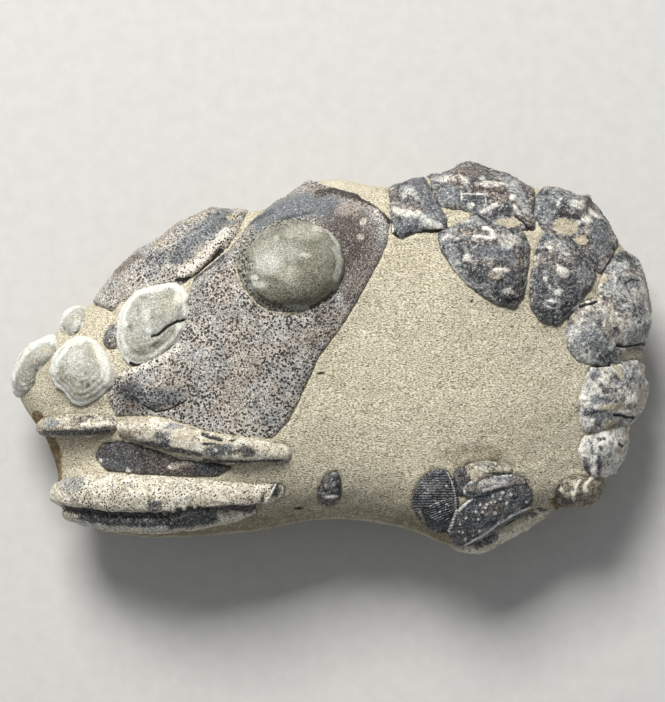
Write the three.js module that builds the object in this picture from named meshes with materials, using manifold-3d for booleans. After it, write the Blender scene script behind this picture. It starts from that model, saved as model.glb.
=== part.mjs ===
// A fossil shrimp, curled on its side in a flattish stone nodule that lies on its back.
// The head is to the left (-X), the animal's back runs along the far edge (+Y) and the tail is tucked in at
// the near right.
// Millimetres, +Z up. The origin is the middle of the foot of the stone, in the plane that it rests on.
//
// One skin describes the whole stone: a face that domes up from the rim, and a back that closes below it.
// Every fossil piece is a thick scab laid on that skin, and the stone has a pocket for each piece.
// Outlines are drawn in the plan, in millimetres. Past the stone's outline the plan goes on over the rim and
// down its side, so a piece whose outline runs past the rim wraps round it.

import * as THREE from "three";
import { mergeVertices } from "three/addons/utils/BufferGeometryUtils.js";
import Module from "manifold-3d";

const wasm = await Module();
wasm.setup();

// ---------------------------------------------------------------- driving dimensions

const RIM_HEIGHT = 15.5; // the stone is widest here
const FACE_RISE = 18; // from the rim to the top of the bare face
const BACK_DROP = 16.8; // from the rim to the lowest point of the back, before its foot is flattened
const FACE_SQUARENESS = 3.1; // exponent of the face's section: 2 is an ellipse, more is flatter
const GAP = 0.35; // round every piece, where it sits in its pocket
const PIECE_DEPTH = 2.2; // how far a piece reaches into the stone
const STONE_TURNS = 50; // steps round the stone
const FACE_RINGS = 8;
const BACK_RINGS = 5;
const OUTLINE_SAMPLES = 720; // places along the stone's outline at which its radius is known
const LONG_WAVE = 0.45; // height of the stone's slow unevenness
const SHORT_WAVE = 0.12;
const POLE = 0.02; // radians from the top or the bottom within which the skin counts as level
const ROUND_REACH = 0.13; // radians, wide so that small waves of the outline don't turn the normal
const LEAST_DEPTH = 0.3; // a limb's underside is at least this far in the stone
const MOST_SPREAD = 2; // a pocket's corner moves outward by at most this many gaps
const CUTTER = 200; // wider than the stone, for cutting its foot flat

// ---------------------------------------------------------------- outlines and curves

const onPlane = ([x, y]) => new THREE.Vector3(x, y, 0);

/** A smooth closed curve through the points of an outline. */
const closedCurve = (points) => new THREE.CatmullRomCurve3(points.map(onPlane), true, "catmullrom", 0.5);

// The stone seen from above, clockwise from the left tip: over the back of the animal, then home along the
// near edge.
const stoneOutline = closedCurve([
  [-60.6, -6.5], [-60, -2.5], [-58.5, 1.5], [-55, 4], [-52.8, 6.5], [-51, 9.3], [-47, 11.5], [-44, 14],
  [-40, 16.8], [-35.5, 20.2], [-30.8, 23.2], [-26, 27], [-21.5, 29], [-16, 30], [-11.5, 30.8], [-7, 33.2],
  [-2, 36], [3, 36.4], [7, 35], [10.5, 34.6], [15, 35.3], [19, 36.8], [23, 38], [28, 37.6],
  [33, 35.6], [37, 34.8], [41.5, 35.3], [46, 34], [50, 31], [53, 27], [56, 24.2], [59, 20.8],
  [61.2, 15.5], [62, 9], [61.2, 3], [60.5, -4], [59, -9], [57, -13], [55.8, -17], [54, -22],
  [50.8, -26], [45.5, -27.2], [40.5, -29.5], [35, -32.5], [30.5, -35], [27, -36.3], [23, -35.3], [18, -32.8],
  [12.5, -32], [4, -30.8], [-5, -31], [-14, -32.3], [-24, -33], [-34, -34], [-43, -33], [-50, -30.5],
  [-53.7, -27.5], [-53.7, -23.5], [-54.3, -18.5], [-56.3, -13.5], [-58.8, -9.8],
]);

/** Distance from the origin to the stone's outline at an angle, read between samples of the curve. */
const outlineSamples = stoneOutline
  .getSpacedPoints(OUTLINE_SAMPLES)
  .map((p) => ({ angle: Math.atan2(p.y, p.x), radius: Math.hypot(p.x, p.y) }))
  .sort((a, b) => a.angle - b.angle);

function outlineRadius(angle) {
  const wrapped = Math.atan2(Math.sin(angle), Math.cos(angle));
  const next = outlineSamples.findIndex((s) => s.angle >= wrapped);
  const b = outlineSamples[next < 0 ? 0 : next];
  const a = outlineSamples[next <= 0 ? outlineSamples.length - 1 : next - 1];
  const turn = (from, to) => (to - from + 2 * Math.PI) % (2 * Math.PI);
  const share = turn(a.angle, wrapped) / Math.max(turn(a.angle, b.angle), 1e-9);
  return a.radius + (b.radius - a.radius) * Math.min(share, 1);
}

// ---------------------------------------------------------------- the stone's skin

// Broad swells and hollows of the stone's face: [x, y, half length, half width, turn in degrees, height].
const FACE_SWELLS = [
  [1.5, 33.5, 9, 3.5, 0, 1.0], // bare hump behind the carapace
  [-37, -19, 17, 3.2, -5, -2.0], // trough between the two claws
  [-51, -18, 6, 4, 0, -1.6], // the trough opens at the head end
  [35, -17.5, 13, 3.8, 0, -1.3], // hollow above the tail fan
  [2, -29, 14, 4, 0, -1.0], // waist of the near edge
  [-49, -2, 9, 9, 0, 0.8], // head end, under the seashells
  [-22, 21.5, 8, 2.2, 43, -2.2], // groove between the two parts of the shield
];

function swellAt(x, y) {
  let height = 0;
  for (const [cx, cy, length, width, turn, rise] of FACE_SWELLS) {
    const a = THREE.MathUtils.degToRad(turn);
    const along = ((x - cx) * Math.cos(a) + (y - cy) * Math.sin(a)) / length;
    const across = (-(x - cx) * Math.sin(a) + (y - cy) * Math.cos(a)) / width;
    height += rise * Math.exp(-along * along - across * across);
  }
  return height;
}

/** Point of the bare skin: t is 0 at the top of the face, a quarter turn at the rim and a half turn below. */
function skinPoint(t, angle) {
  const reach = outlineRadius(angle) * Math.pow(Math.sin(t), 2 / FACE_SQUARENESS);
  const z = Math.cos(t) > 0 ? RIM_HEIGHT + FACE_RISE * Math.cos(t) : RIM_HEIGHT + BACK_DROP * Math.cos(t);
  return new THREE.Vector3(reach * Math.cos(angle), reach * Math.sin(angle), z);
}

function skinNormal(t, angle) {
  if (t < POLE) return new THREE.Vector3(0, 0, 1);
  if (t > Math.PI - POLE) return new THREE.Vector3(0, 0, -1);
  const reach = Math.min(POLE, t / 2, (Math.PI - t) / 2);
  const down = skinPoint(t + reach, angle).sub(skinPoint(t - reach, angle));
  const round = skinPoint(t, angle + ROUND_REACH).sub(skinPoint(t, angle - ROUND_REACH));
  return down.cross(round).normalize();
}

/** Slow unevenness that the whole stone has. */
function unevenness(p) {
  const long = Math.sin(p.x / 8.3 + 0.6) * Math.cos(p.y / 6.1) * Math.sin(p.z / 5.2 + 1.1);
  const short = Math.sin(p.x / 3.7 - 1.3) * Math.sin(p.y / 3.1 + p.z / 4.3);
  return LONG_WAVE * long + SHORT_WAVE * short;
}

/** The skin over a place in the plan: its point, raised by height along its normal. */
function onSkin(x, y, height) {
  const angle = Math.atan2(y, x);
  const radius = outlineRadius(angle);
  const share = Math.hypot(x, y) / radius;
  const t =
    share <= 1
      ? Math.asin(Math.pow(share, FACE_SQUARENESS / 2))
      : Math.PI / 2 + ((share - 1) * radius) / BACK_DROP;
  const point = skinPoint(t, angle);
  const lift = height + swellAt(x, y) + unevenness(point);
  return point.addScaledVector(skinNormal(t, angle), lift);
}

// ---------------------------------------------------------------- closed skins and solids

/** A ball of around by layers faces whose every vertex is put where place(step round, layer) says. */
function closedSkin(around, layers, place) {
  const ball = new THREE.SphereGeometry(1, around, layers);
  const position = ball.getAttribute("position");
  const uv = ball.getAttribute("uv");
  for (let i = 0; i < position.count; i++) {
    const layer = Math.round((1 - uv.getY(i)) * layers);
    const atPole = layer === 0 || layer === layers;
    const step = atPole ? 0 : Math.round(uv.getX(i) * around) % around;
    const p = place(step, layer);
    position.setXYZ(i, p.x, p.y, p.z);
  }
  ball.deleteAttribute("normal");
  ball.deleteAttribute("uv");
  return mergeVertices(ball, 1e-4);
}

function toSolid(geometry) {
  const vertProperties = geometry.getAttribute("position").array;
  const build = (triVerts) => new wasm.Manifold(new wasm.Mesh({ numProp: 3, vertProperties, triVerts }));
  const triangles = new Uint32Array(geometry.index.array);
  const solid = build(triangles);
  return solid.volume() > 0 ? solid : build(triangles.reverse());
}

/** The largest of a solid's separate lumps. */
function largestLump(solid) {
  return solid.decompose().reduce((a, b) => (b.volume() > a.volume() ? b : a));
}

function toMesh(name, solid, material) {
  const { numProp, numVert, vertProperties, triVerts } = solid.getMesh();
  const points = new Float32Array(numVert * 3);
  for (let i = 0; i < numVert; i++) points.set(vertProperties.subarray(i * numProp, i * numProp + 3), i * 3);
  const geometry = new THREE.BufferGeometry();
  geometry.setAttribute("position", new THREE.BufferAttribute(points, 3));
  geometry.setIndex(new THREE.BufferAttribute(triVerts, 1));
  geometry.computeVertexNormals();
  const mesh = new THREE.Mesh(geometry, material);
  mesh.name = name;
  return mesh;
}

// ---------------------------------------------------------------- fossil pieces

const POCKET_HEADROOM = 2.5; // a pocket's cutter stands this far above the piece

/** Small rounded bosses and pits on a piece: [x, y, radius, height]. */
function bossAt(bosses, x, y) {
  const rise = ([cx, cy, r, height]) => height * Math.exp(-((x - cx) ** 2 + (y - cy) ** 2) / r ** 2);
  return bosses.reduce((sum, boss) => sum + rise(boss), 0);
}

/**
 * A plate or shell of any rounded outline. It stands rim proud of its seat at its edge and rim + crown at its
 * apex, and seat is how far that lies above the bare stone. fullness shapes the slope: 1 is a cone, 2 a dome
 * and more a table. Its skin has a ring of points for each layer: 0 to rings on top, from the apex to the
 * edge, then the floor.
 */
function plateSkin(form) {
  const { apex, outline, around = 20, rings = 3, floors = 1 } = form;
  const { seat = 0, rim = 0.4, crown = 0.8, fullness = 2, depth = PIECE_DEPTH, bosses = [] } = form;
  const edge = closedCurve(outline).getSpacedPoints(around);
  const layers = rings + 1 + floors;
  const point = (step, layer, raise = 0) => {
    const onTop = layer <= rings;
    const share = onTop ? layer / rings : 1 - (layer - rings - 1) / floors;
    const border = edge[(step + around) % around];
    const x = apex[0] + (border.x - apex[0]) * share;
    const y = apex[1] + (border.y - apex[1]) * share;
    const top = rim + crown * (1 - share ** fullness) + bossAt(bosses, x, y) * (1 - share ** 6);
    return onSkin(x, y, seat + (onTop ? top : -depth) + raise);
  };
  return { around, rings, layers, point };
}

function plate(form) {
  const { around, layers, point } = plateSkin(form);
  return toSolid(closedSkin(around, layers, point));
}

/** The pocket of a plate: its skin moved outward by the gap on every side, and opened above its edge. */
function platePocket(form) {
  const { around, rings, layers, point } = plateSkin(form);
  const outward = (step, layer) => {
    if (layer === 0 || layer === layers) return new THREE.Vector3();
    const here = point(step, layer);
    const along = point(step + 1, layer).sub(point(step - 1, layer));
    const before = along.clone().cross(here.clone().sub(point(step, layer - 1))).normalize();
    const after = along.clone().cross(point(step, layer + 1).sub(here)).normalize();
    return before.clone().add(after).divideScalar(Math.max(1 + before.dot(after), 1 / MOST_SPREAD));
  };
  const turning = Math.sign(outward(0, rings).dot(point(0, rings).sub(point(0, 0))));
  const grown = (step, layer, raise) =>
    point(step, layer, raise).addScaledVector(outward(step, layer), GAP * turning);
  return toSolid(
    closedSkin(around, layers + 1, (step, layer) => {
      if (layer < rings) return point(step, layer, POCKET_HEADROOM);
      if (layer === rings) return grown(step, rings, POCKET_HEADROOM);
      if (layer === layers + 1) return point(step, layers, -GAP);
      return grown(step, layer - 1, 0);
    }),
  );
}

/** A claw or leg along a spine of stations [x, y, half width, height above the stone]. */
function limb(form, grow = 0) {
  const { spine, around = 12, steps = 10, depth = PIECE_DEPTH, bluntness = 0.35, bosses = [] } = form;
  const line = new THREE.CatmullRomCurve3(spine.map(onPlane));
  const sizes = new THREE.CatmullRomCurve3(spine.map(([, , width, height]) => onPlane([width, height])));
  const headroom = grow ? POCKET_HEADROOM : 0;
  return toSolid(
    closedSkin(around, steps, (step, layer) => {
      const along = (1 - Math.cos((Math.PI * layer) / steps)) / 2;
      const end = Math.pow(Math.sin((Math.PI * layer) / steps), bluntness);
      const centre = line.getPoint(along);
      const ahead = line.getTangent(along);
      const { x: width, y: height } = sizes.getPoint(along);
      const a = (2 * Math.PI * step) / around;
      const side = (width + grow) * end * Math.cos(a);
      const x = centre.x - ahead.y * side - ahead.x * grow * Math.cos((Math.PI * layer) / steps);
      const y = centre.y + ahead.x * side - ahead.y * grow * Math.cos((Math.PI * layer) / steps);
      const rise = Math.sin(a) >= 0 ? height * Math.sin(a) + bossAt(bosses, x, y) * end : 0;
      const above = end * rise + headroom;
      const below = -(depth + grow) * Math.pow(Math.max(-Math.sin(a), 0), 0.5) * end;
      return onSkin(x, y, Math.sin(a) > 1e-6 ? above : Math.min(below, -LEAST_DEPTH));
    }),
  );
}

/** Several plates or limbs grown together in one piece. */
const joined =
  (...makers) =>
  (grow) =>
    makers.map((make) => make(grow)).reduce((whole, part) => whole.add(part));
const plateOf = (form) => (grow) => (grow ? platePocket(form) : plate(form));
const limbOf = (form) => (grow) => limb(form, grow);

// ---------------------------------------------------------------- materials

const finish = (color, roughness) => new THREE.MeshStandardMaterial({ color, roughness, metalness: 0 });
const stone = finish("#a89b7f", 0.95);
const greyShell = finish("#7d787c", 0.85);
const blackShell = finish("#3d4148", 0.6);
const seashell = finish("#9ea091", 0.7);
const claw = finish("#a39a80", 0.85);
const fan = finish("#2e2b2d", 0.65);

// ---------------------------------------------------------------- the pieces, those on top first

const PIECES = [
  // Seashells that grew on the animal's shield and head end.
  ["shell_large", seashell, plateOf({
    apex: [-5.5, 15], seat: 2.2, crown: 4.4, rim: 0.5, fullness: 2.4, around: 22, rings: 4, depth: 1.2,
    outline: [
      [-17.5, 16], [-17, 20.5], [-14, 23.3], [-10, 25.5], [-6, 26], [-2, 24.5], [1.2, 22.5],
      [2.4, 18.5], [1.2, 14], [-2, 10.8], [-7, 8.6], [-12, 9.2], [-15.5, 12],
    ],
  })],
  ["shell_middle", seashell, plateOf({
    apex: [-33, 9], crown: 2.4, rim: 0.9, fullness: 2.6, around: 20, rings: 3, depth: 1.2,
    outline: [
      [-38, -0.7], [-40, 2.8], [-40.2, 7], [-39, 11], [-36, 13.4], [-33, 14], [-30.5, 15],
      [-28.2, 13.5], [-27.3, 10], [-27.4, 7.8], [-29.5, 3.5], [-33, 0.6], [-36, -0.8],
    ],
  })],
  ["shell_lower", seashell, plateOf({
    apex: [-47.5, -1], crown: 1.9, rim: 0.8, around: 16, depth: 1.2,
    outline: [
      [-53, -2.5], [-52.2, 1], [-49.5, 3.8], [-46.5, 4.6], [-44.5, 3], [-42, 0], [-41, -2.5],
      [-42.5, -5.2], [-45.5, -7.4], [-48.5, -8], [-49.5, -5.8], [-51.5, -4.6],
    ],
  })],
  ["shell_left", seashell, plateOf({
    apex: [-57.5, -0.5], crown: 1.4, rim: 0.7, around: 16, rings: 2, depth: 1.2,
    outline: [
      [-63, -6], [-62.8, -2.5], [-61, 2], [-57.5, 5], [-53.8, 5.2], [-52.6, 3.4], [-54, 0.3],
      [-56.3, -1], [-57, -3.5], [-59.5, -5.5],
    ],
  })],
  ["shell_small", seashell, plateOf({
    apex: [-49.8, 8.3], crown: 0.9, rim: 0.5, around: 10, rings: 2, depth: 1,
    outline: [[-52.3, 8], [-51, 10.5], [-49.3, 11.3], [-48, 10], [-48, 7], [-49.3, 5.5], [-51.3, 6]],
  })],
  ["dark_grain", greyShell, plateOf({
    apex: [-41.8, 4.8], crown: 0.9, rim: 0.3, around: 8, rings: 2, depth: 1,
    outline: [[-43, 4], [-42, 6.3], [-40.8, 7], [-40.5, 4.5], [-41, 2.6], [-42.4, 2.8]],
  })],

  // Claws and leg at the near left.
  ["upper_claw", claw, limbOf({
    around: 8, steps: 7, bluntness: 0.25,
    spine: [
      [-56, -12.2, 1.6, 2], [-52, -12, 2, 2.8], [-47, -12, 2, 2.8], [-43, -12, 1.7, 2],
      [-41, -12, 1.2, 1.5],
    ],
  })],
  ["upper_claw_arm", claw, limbOf({
    around: 10, steps: 11, bluntness: 0.3,
    spine: [
      [-40.5, -12.6, 1.5, 1.6], [-36, -12.9, 2.5, 2.6], [-31, -14.2, 2.8, 3], [-25.5, -15.8, 2.7, 2.9],
      [-19.5, -16.8, 2.4, 2.6], [-13.5, -17, 2.2, 2.2], [-7.5, -17.5, 1.5, 1.4],
    ],
    bosses: [
      [-34.5, -12.3, 1.6, 0.5], [-29.5, -15, 1.4, 0.5], [-18.5, -16, 1.8, 0.6], [-13, -16.2, 1.5, 0.6],
    ],
  })],
  ["middle_leg", greyShell, plateOf({
    apex: [-33, -19], crown: 0.5, rim: 0.25, around: 16, rings: 2, depth: 1.6,
    outline: [
      [-46, -18.3], [-44.5, -16.2], [-41, -15.6], [-37, -16.2], [-32, -17.6], [-26, -19], [-20, -19.8],
      [-18.8, -20.6], [-21, -21.5], [-28, -21.8], [-36, -21.4], [-43, -20.6],
    ],
  })],
  ["lower_claw", claw, joined(
    limbOf({
      around: 10, steps: 10, bluntness: 0.3,
      spine: [
        [-53.8, -24.8, 2.2, 1.6], [-49.5, -24.8, 3.1, 2.6], [-43, -25.1, 3.4, 3.2],
        [-35, -25.4, 3.3, 3.3], [-27, -25.6, 3, 3.1], [-19, -25.6, 2.6, 2.7], [-13, -25.2, 2, 2.1],
        [-9, -24.5, 1.2, 1.2],
      ],
    }),
    limbOf({
      around: 10, steps: 8, bluntness: 0.3,
      spine: [
        [-51.8, -28.2, 1.6, 1.2], [-46, -29.1, 2, 1.9], [-38, -29.6, 2.2, 2.1], [-29, -29.4, 2.2, 2.1],
        [-20.5, -28.7, 1.9, 1.8], [-13.5, -27.3, 1.4, 1.2],
      ],
      bosses: [[-34, -28, 2.2, 0.9]],
    }),
  )],
  ["leg_stub", blackShell, plateOf({
    apex: [0, -24.4], crown: 0.8, rim: 0.3, around: 10, rings: 2, depth: 1.6,
    outline: [
      [-2, -26.2], [-1.8, -24], [-0.5, -22], [0.9, -21.2], [1.7, -23], [1.6, -25.5], [0.6, -27.5],
      [-0.8, -27.6],
    ],
  })],

  // The shield.
  ["carapace_front_lobe", greyShell, plateOf({
    apex: [-31, 21], crown: 2.2, rim: 0.9, around: 22, rings: 3, fullness: 2.2,
    outline: [
      [-28.5, 15.2], [-24.5, 18], [-21, 21.8], [-18.3, 25.5], [-17, 29], [-18.5, 33], [-24, 33.2],
      [-32, 29], [-40, 24], [-45.5, 18.5], [-45.8, 13], [-43, 10], [-39.5, 11.5], [-35, 14],
    ],
  })],
  ["carapace", greyShell, plateOf({
    apex: [-14, 6], crown: 2.4, rim: 0.45, fullness: 2.6, around: 37, rings: 6,
    outline: [
      [-27, 12], [-26.8, 15], [-23, 18.6], [-18.5, 23], [-15.5, 26.8], [-12.5, 30], [-9, 33.2],
      [-5, 35.2], [0, 32.6], [5, 31.2], [9, 29.4], [11.2, 27.5], [11, 24.5], [9, 19.5], [5.5, 13],
      [1.5, 6.5], [-2.5, 1], [-5, -4.5], [-8, -10.5], [-10.5, -13.8], [-15, -14.8], [-21, -13.6],
      [-28, -11.5], [-33, -10], [-40.5, -10], [-42, -7], [-41.3, -4], [-38, -1.8], [-33, 0],
      [-28.5, 4],
    ],
    bosses: [
      [-39.5, -6.2, 1.8, 1.3], [-33, -7.6, 3.2, 0.9], [-13, -11.3, 3.4, 0.7], [-6, 31.5, 3.4, 0.6],
      [3, 29.8, 3, 0.6], [6, 22.5, 3.6, 0.4], [-22, -2, 6, 0.5],
    ],
  })],

  // The abdomen, from the shield round the far edge to the tail.
  ["abdomen_segment_1", blackShell, plateOf({
    apex: [16.5, 29.5], crown: 1.1, rim: 0.6, around: 14,
    outline: [
      [11.5, 33.5], [14, 36.2], [17.5, 36.8], [18.6, 34], [20, 30.8], [22.4, 26], [21.5, 24.5],
      [17, 24.9], [14.5, 24.6], [12.6, 23.2], [11.7, 25.5], [12, 29.5],
    ],
    bosses: [[17, 32, 1.6, 0.6], [15.5, 26.6, 1.6, 0.4]],
  })],
  ["abdomen_segment_2", blackShell, joined(
    plateOf({
      apex: [29, 32], crown: 1.6, rim: 0.5, around: 17, rings: 2, floors: 2,
      outline: [
        [19.8, 33], [19.8, 37.5], [22, 42], [28, 43.5], [35, 42], [38.8, 38], [38.8, 33], [39, 28.5],
        [38.5, 25.3], [35, 25], [31.5, 26], [28, 28], [24.5, 29.5], [21, 30],
      ],
      bosses: [[24, 35, 1.6, 0.6], [29, 30.5, 1.6, 0.8], [33.5, 33.5, 2.2, 0.6], [36, 28.5, 1.5, 0.5]],
    }),
    plateOf({
      apex: [31, 19.5], crown: 2.0, rim: 0.9, around: 18, fullness: 2.6,
      outline: [
        [20.6, 24.2], [24, 25.5], [28, 28], [32, 27], [36, 25], [37.5, 21.5], [37, 17], [36.3, 12.5],
        [35.3, 10.4], [32, 10.9], [28, 13.2], [24.5, 16.6], [22, 20],
      ],
      bosses: [
        [34, 13, 1.8, 1.3], [29.5, 16.5, 1.9, 0.8], [29.5, 23.8, 2.2, 0.8], [24.5, 20.5, 1.6, -0.5],
      ],
    }),
  )],
  ["abdomen_segment_3", blackShell, joined(
    plateOf({
      apex: [47.5, 27.5], crown: 1.4, rim: 0.5, around: 17, rings: 2, floors: 2,
      outline: [
        [39.2, 28], [39.6, 32], [41, 33.6], [45, 33.4], [48.5, 34.5], [53, 35], [57.5, 30],
        [56.5, 25.5], [55, 23], [53.5, 20], [51.5, 17.4], [48, 19.5], [44.5, 22.5], [41, 25.5],
      ],
      bosses: [[48.5, 30, 2, 0.7], [52.5, 25, 2, 0.7], [43.5, 30, 1.8, 0.5]],
    }),
    plateOf({
      apex: [44, 16], crown: 1.8, rim: 0.9, around: 16, fullness: 2.6,
      outline: [
        [39, 19], [40, 23], [43, 25.5], [46.5, 23.5], [49.5, 20], [50.3, 17], [49, 14], [47, 11],
        [44.5, 8.4], [42.3, 7.1], [39.8, 8.3], [38.1, 11], [38.3, 15],
      ],
      bosses: [[42, 10.8, 1.7, 0.9], [44, 17, 1.8, 0.8]],
    }),
  )],
  ["abdomen_segment_4", blackShell, joined(
    plateOf({
      apex: [56.5, 11], crown: 1.3, rim: 0.5, around: 16, rings: 2,
      outline: [
        [52.3, 16.5], [54.5, 20.3], [57, 21.7], [59, 20], [60.3, 16.5], [61.5, 12], [63.5, 9], [65, 6],
        [63.5, 3.6], [59, 3.3], [55, 3.2], [52.5, 6], [51.4, 10], [51.6, 14],
      ],
      bosses: [[57.5, 18.5, 1.3, 0.7], [56, 9.5, 2.2, 0.5]],
    }),
    plateOf({
      apex: [51, 5.5], crown: 1.5, rim: 0.8, around: 14, rings: 2,
      outline: [
        [45.2, 5.5], [45.8, 9], [48, 11.2], [52, 11.5], [55, 9], [56.5, 5], [55.8, 1.5], [53.5, -0.2],
        [50, -0.2], [46.7, 1], [45.3, 3],
      ],
      bosses: [[49.5, 4.5, 1.8, 0.5]],
    }),
  )],
  ["abdomen_segment_5", blackShell, plateOf({
    apex: [54, -5.5], crown: 1.3, rim: 0.7, around: 16,
    outline: [
      [49.8, -1], [53, -0.5], [57, 0.2], [61.5, 0.3], [64, -3], [63, -8], [59.5, -10.8], [56.5, -11.3],
      [54, -11.2], [52, -12.8], [48.8, -13], [48, -10.5], [47.2, -8.5], [48.5, -5],
    ],
    bosses: [[54, -3, 1.6, -0.5], [50.5, -8.5, 1.6, 0.6], [57, -7.5, 2, 0.5]],
  })],
  ["abdomen_segment_6", blackShell, plateOf({
    apex: [53, -16.2], crown: 1.1, rim: 0.6, around: 14, rings: 2,
    outline: [
      [48.8, -14.4], [51, -13.6], [53.3, -12.2], [57, -12], [60.3, -12.6], [59.5, -17], [56.5, -20],
      [53, -20.8], [51, -21.8], [49.3, -20.3], [48, -17],
    ],
    bosses: [[51, -17, 1.5, 0.5], [55, -15.5, 1.6, 0.5]],
  })],
  ["tail_root", claw, plateOf({
    apex: [48.6, -24.6], crown: 0.9, rim: 0.3, around: 14, rings: 2,
    outline: [
      [43.5, -24.5], [46, -22.6], [49.5, -22.2], [52.4, -22.4], [53.8, -25], [51, -28], [47.5, -28.2],
      [44.5, -27],
    ],
    bosses: [[46.6, -25, 1.2, 0.6], [50.2, -23.8, 1.2, 0.6]],
  })],

  // The tail fan, spread at the near right.
  ["tail_fan_ribbed_lobe", fan, plateOf({
    apex: [20.3, -26.6], crown: 0.8, rim: 0.3, around: 16, rings: 2, depth: 1.8,
    outline: [
      [16, -26.5], [16.8, -23.6], [18.8, -21.5], [21.8, -20.9], [23.2, -23], [23.9, -26.5],
      [23.5, -29.5], [22.3, -32.4], [20, -32], [17.8, -30.3], [16.3, -28],
    ],
  })],
  ["tail_fan_wedge", fan, plateOf({
    apex: [25, -22.5], crown: 0.3, rim: 0.3, around: 8, rings: 1, depth: 1.5,
    outline: [[23.7, -23], [23.9, -21], [25.5, -20.3], [26.5, -22.3], [25.3, -23.8], [24.6, -25.6]],
  })],
  ["tail_fan_pale_plate", claw, plateOf({
    apex: [30.5, -20.7], crown: 0.5, rim: 0.5, around: 12, rings: 1, depth: 1.5,
    outline: [
      [25.9, -20.1], [28.5, -19.5], [32.5, -19.5], [35.2, -20.7], [33, -21.5], [29.5, -21.8],
      [27.4, -23],
    ],
  })],
  ["tail_fan_middle_lobe", fan, plateOf({
    apex: [30, -23.4], crown: 0.7, rim: 0.4, around: 14, rings: 2, depth: 1.5,
    outline: [
      [25.1, -24.4], [26.3, -23], [29.5, -22.1], [33.5, -21.6], [37.2, -22.6], [34, -23.4],
      [31, -24.5], [28, -25.4], [25.8, -25.6],
    ],
  })],
  ["telson", fan, plateOf({
    apex: [30.8, -28.5], crown: 0.7, rim: 0.4, around: 16, rings: 2, depth: 1.8,
    outline: [
      [22.8, -32.4], [23.6, -29.6], [25.8, -27], [29, -24.9], [33, -23.4], [37.4, -22.9], [38.3, -25],
      [38, -27.9], [34, -29.8], [30, -32.3], [26, -34.7], [24.4, -34.4],
    ],
  })],
  ["tail_fan_outer_lobe", claw, plateOf({
    apex: [33.5, -32.6], crown: 0.6, rim: 0.3, around: 14, rings: 2, depth: 1.8,
    outline: [
      [26, -35.6], [30, -33], [34, -30.5], [37, -28.9], [40.5, -28], [43.5, -29], [41.5, -33],
      [37, -36.5], [32.5, -39], [28.5, -40], [26, -38.5],
    ],
  })],
];

// ---------------------------------------------------------------- putting the stone and its pieces together

function bareStone() {
  const layers = FACE_RINGS + BACK_RINGS;
  const skin = closedSkin(STONE_TURNS, layers, (step, layer) => {
    const quarter = Math.PI / 2;
    const t =
      layer <= FACE_RINGS
        ? (quarter * layer) / FACE_RINGS
        : quarter + (quarter * (layer - FACE_RINGS)) / BACK_RINGS;
    const angle = (2 * Math.PI * step) / STONE_TURNS;
    const point = skinPoint(t, angle);
    const swell = layer <= FACE_RINGS ? swellAt(point.x, point.y) : 0;
    return point.addScaledVector(skinNormal(t, angle), swell + unevenness(point));
  });
  // The foot: a worn flat that the stone rests on.
  const below = new THREE.BoxGeometry(CUTTER, CUTTER, CUTTER).translate(0, 0, -CUTTER / 2);
  below.deleteAttribute("normal");
  below.deleteAttribute("uv");
  return toSolid(skin).subtract(toSolid(mergeVertices(below)));
}

const model = new THREE.Group();
let carved = bareStone();
const pockets = [];
for (const [name, material, make] of PIECES) {
  let piece = make(0);
  for (const pocket of pockets) piece = piece.subtract(pocket);
  const pocket = make(GAP);
  carved = carved.subtract(pocket);
  pockets.push(pocket);
  model.add(toMesh(name, largestLump(piece), material));
}
model.add(toMesh("stone_matrix", largestLump(carved), stone));

// The origin is the middle of the whole object's footprint, in the plane that it rests on.
const extent = new THREE.Box3().setFromObject(model);
const middle = extent.getCenter(new THREE.Vector3());
model.position.set(-middle.x, -middle.y, -extent.min.z);

export default model;
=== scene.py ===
import itertools
import math

import bmesh
import bpy
import numpy as np
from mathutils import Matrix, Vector
from mathutils.bvhtree import BVHTree


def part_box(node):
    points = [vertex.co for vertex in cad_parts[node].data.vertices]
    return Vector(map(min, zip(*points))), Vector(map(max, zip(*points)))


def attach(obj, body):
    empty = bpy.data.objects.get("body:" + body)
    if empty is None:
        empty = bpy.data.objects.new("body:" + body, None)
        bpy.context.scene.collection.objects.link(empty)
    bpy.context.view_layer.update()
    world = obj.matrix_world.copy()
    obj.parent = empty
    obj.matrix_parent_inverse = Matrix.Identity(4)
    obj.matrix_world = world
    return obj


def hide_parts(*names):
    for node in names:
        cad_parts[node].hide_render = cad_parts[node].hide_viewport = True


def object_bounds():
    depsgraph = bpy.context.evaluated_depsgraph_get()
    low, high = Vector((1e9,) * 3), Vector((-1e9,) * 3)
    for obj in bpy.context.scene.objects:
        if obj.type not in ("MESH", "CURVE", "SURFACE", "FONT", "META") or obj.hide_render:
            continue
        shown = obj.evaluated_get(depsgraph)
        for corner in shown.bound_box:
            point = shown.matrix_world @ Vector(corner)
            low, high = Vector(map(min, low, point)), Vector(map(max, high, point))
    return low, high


# The looks of a fossil shrimp in its stone nodule. Every CAD piece gets a skin: a fine closed copy of it with
# its facets worn away, small forms raised on it, and masks painted on its vertices for its node material to
# colour. Sizes are millimetres unless said otherwise. Places on a piece are shares of its CAD box, from its
# low corner.

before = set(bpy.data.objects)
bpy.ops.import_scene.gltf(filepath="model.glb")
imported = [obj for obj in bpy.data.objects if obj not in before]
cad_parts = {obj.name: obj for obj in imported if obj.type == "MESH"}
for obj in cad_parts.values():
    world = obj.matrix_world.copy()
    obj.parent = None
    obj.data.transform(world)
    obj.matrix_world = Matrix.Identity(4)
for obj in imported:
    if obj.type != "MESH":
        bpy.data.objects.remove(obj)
CAD_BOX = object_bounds()
MM = 0.001

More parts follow.
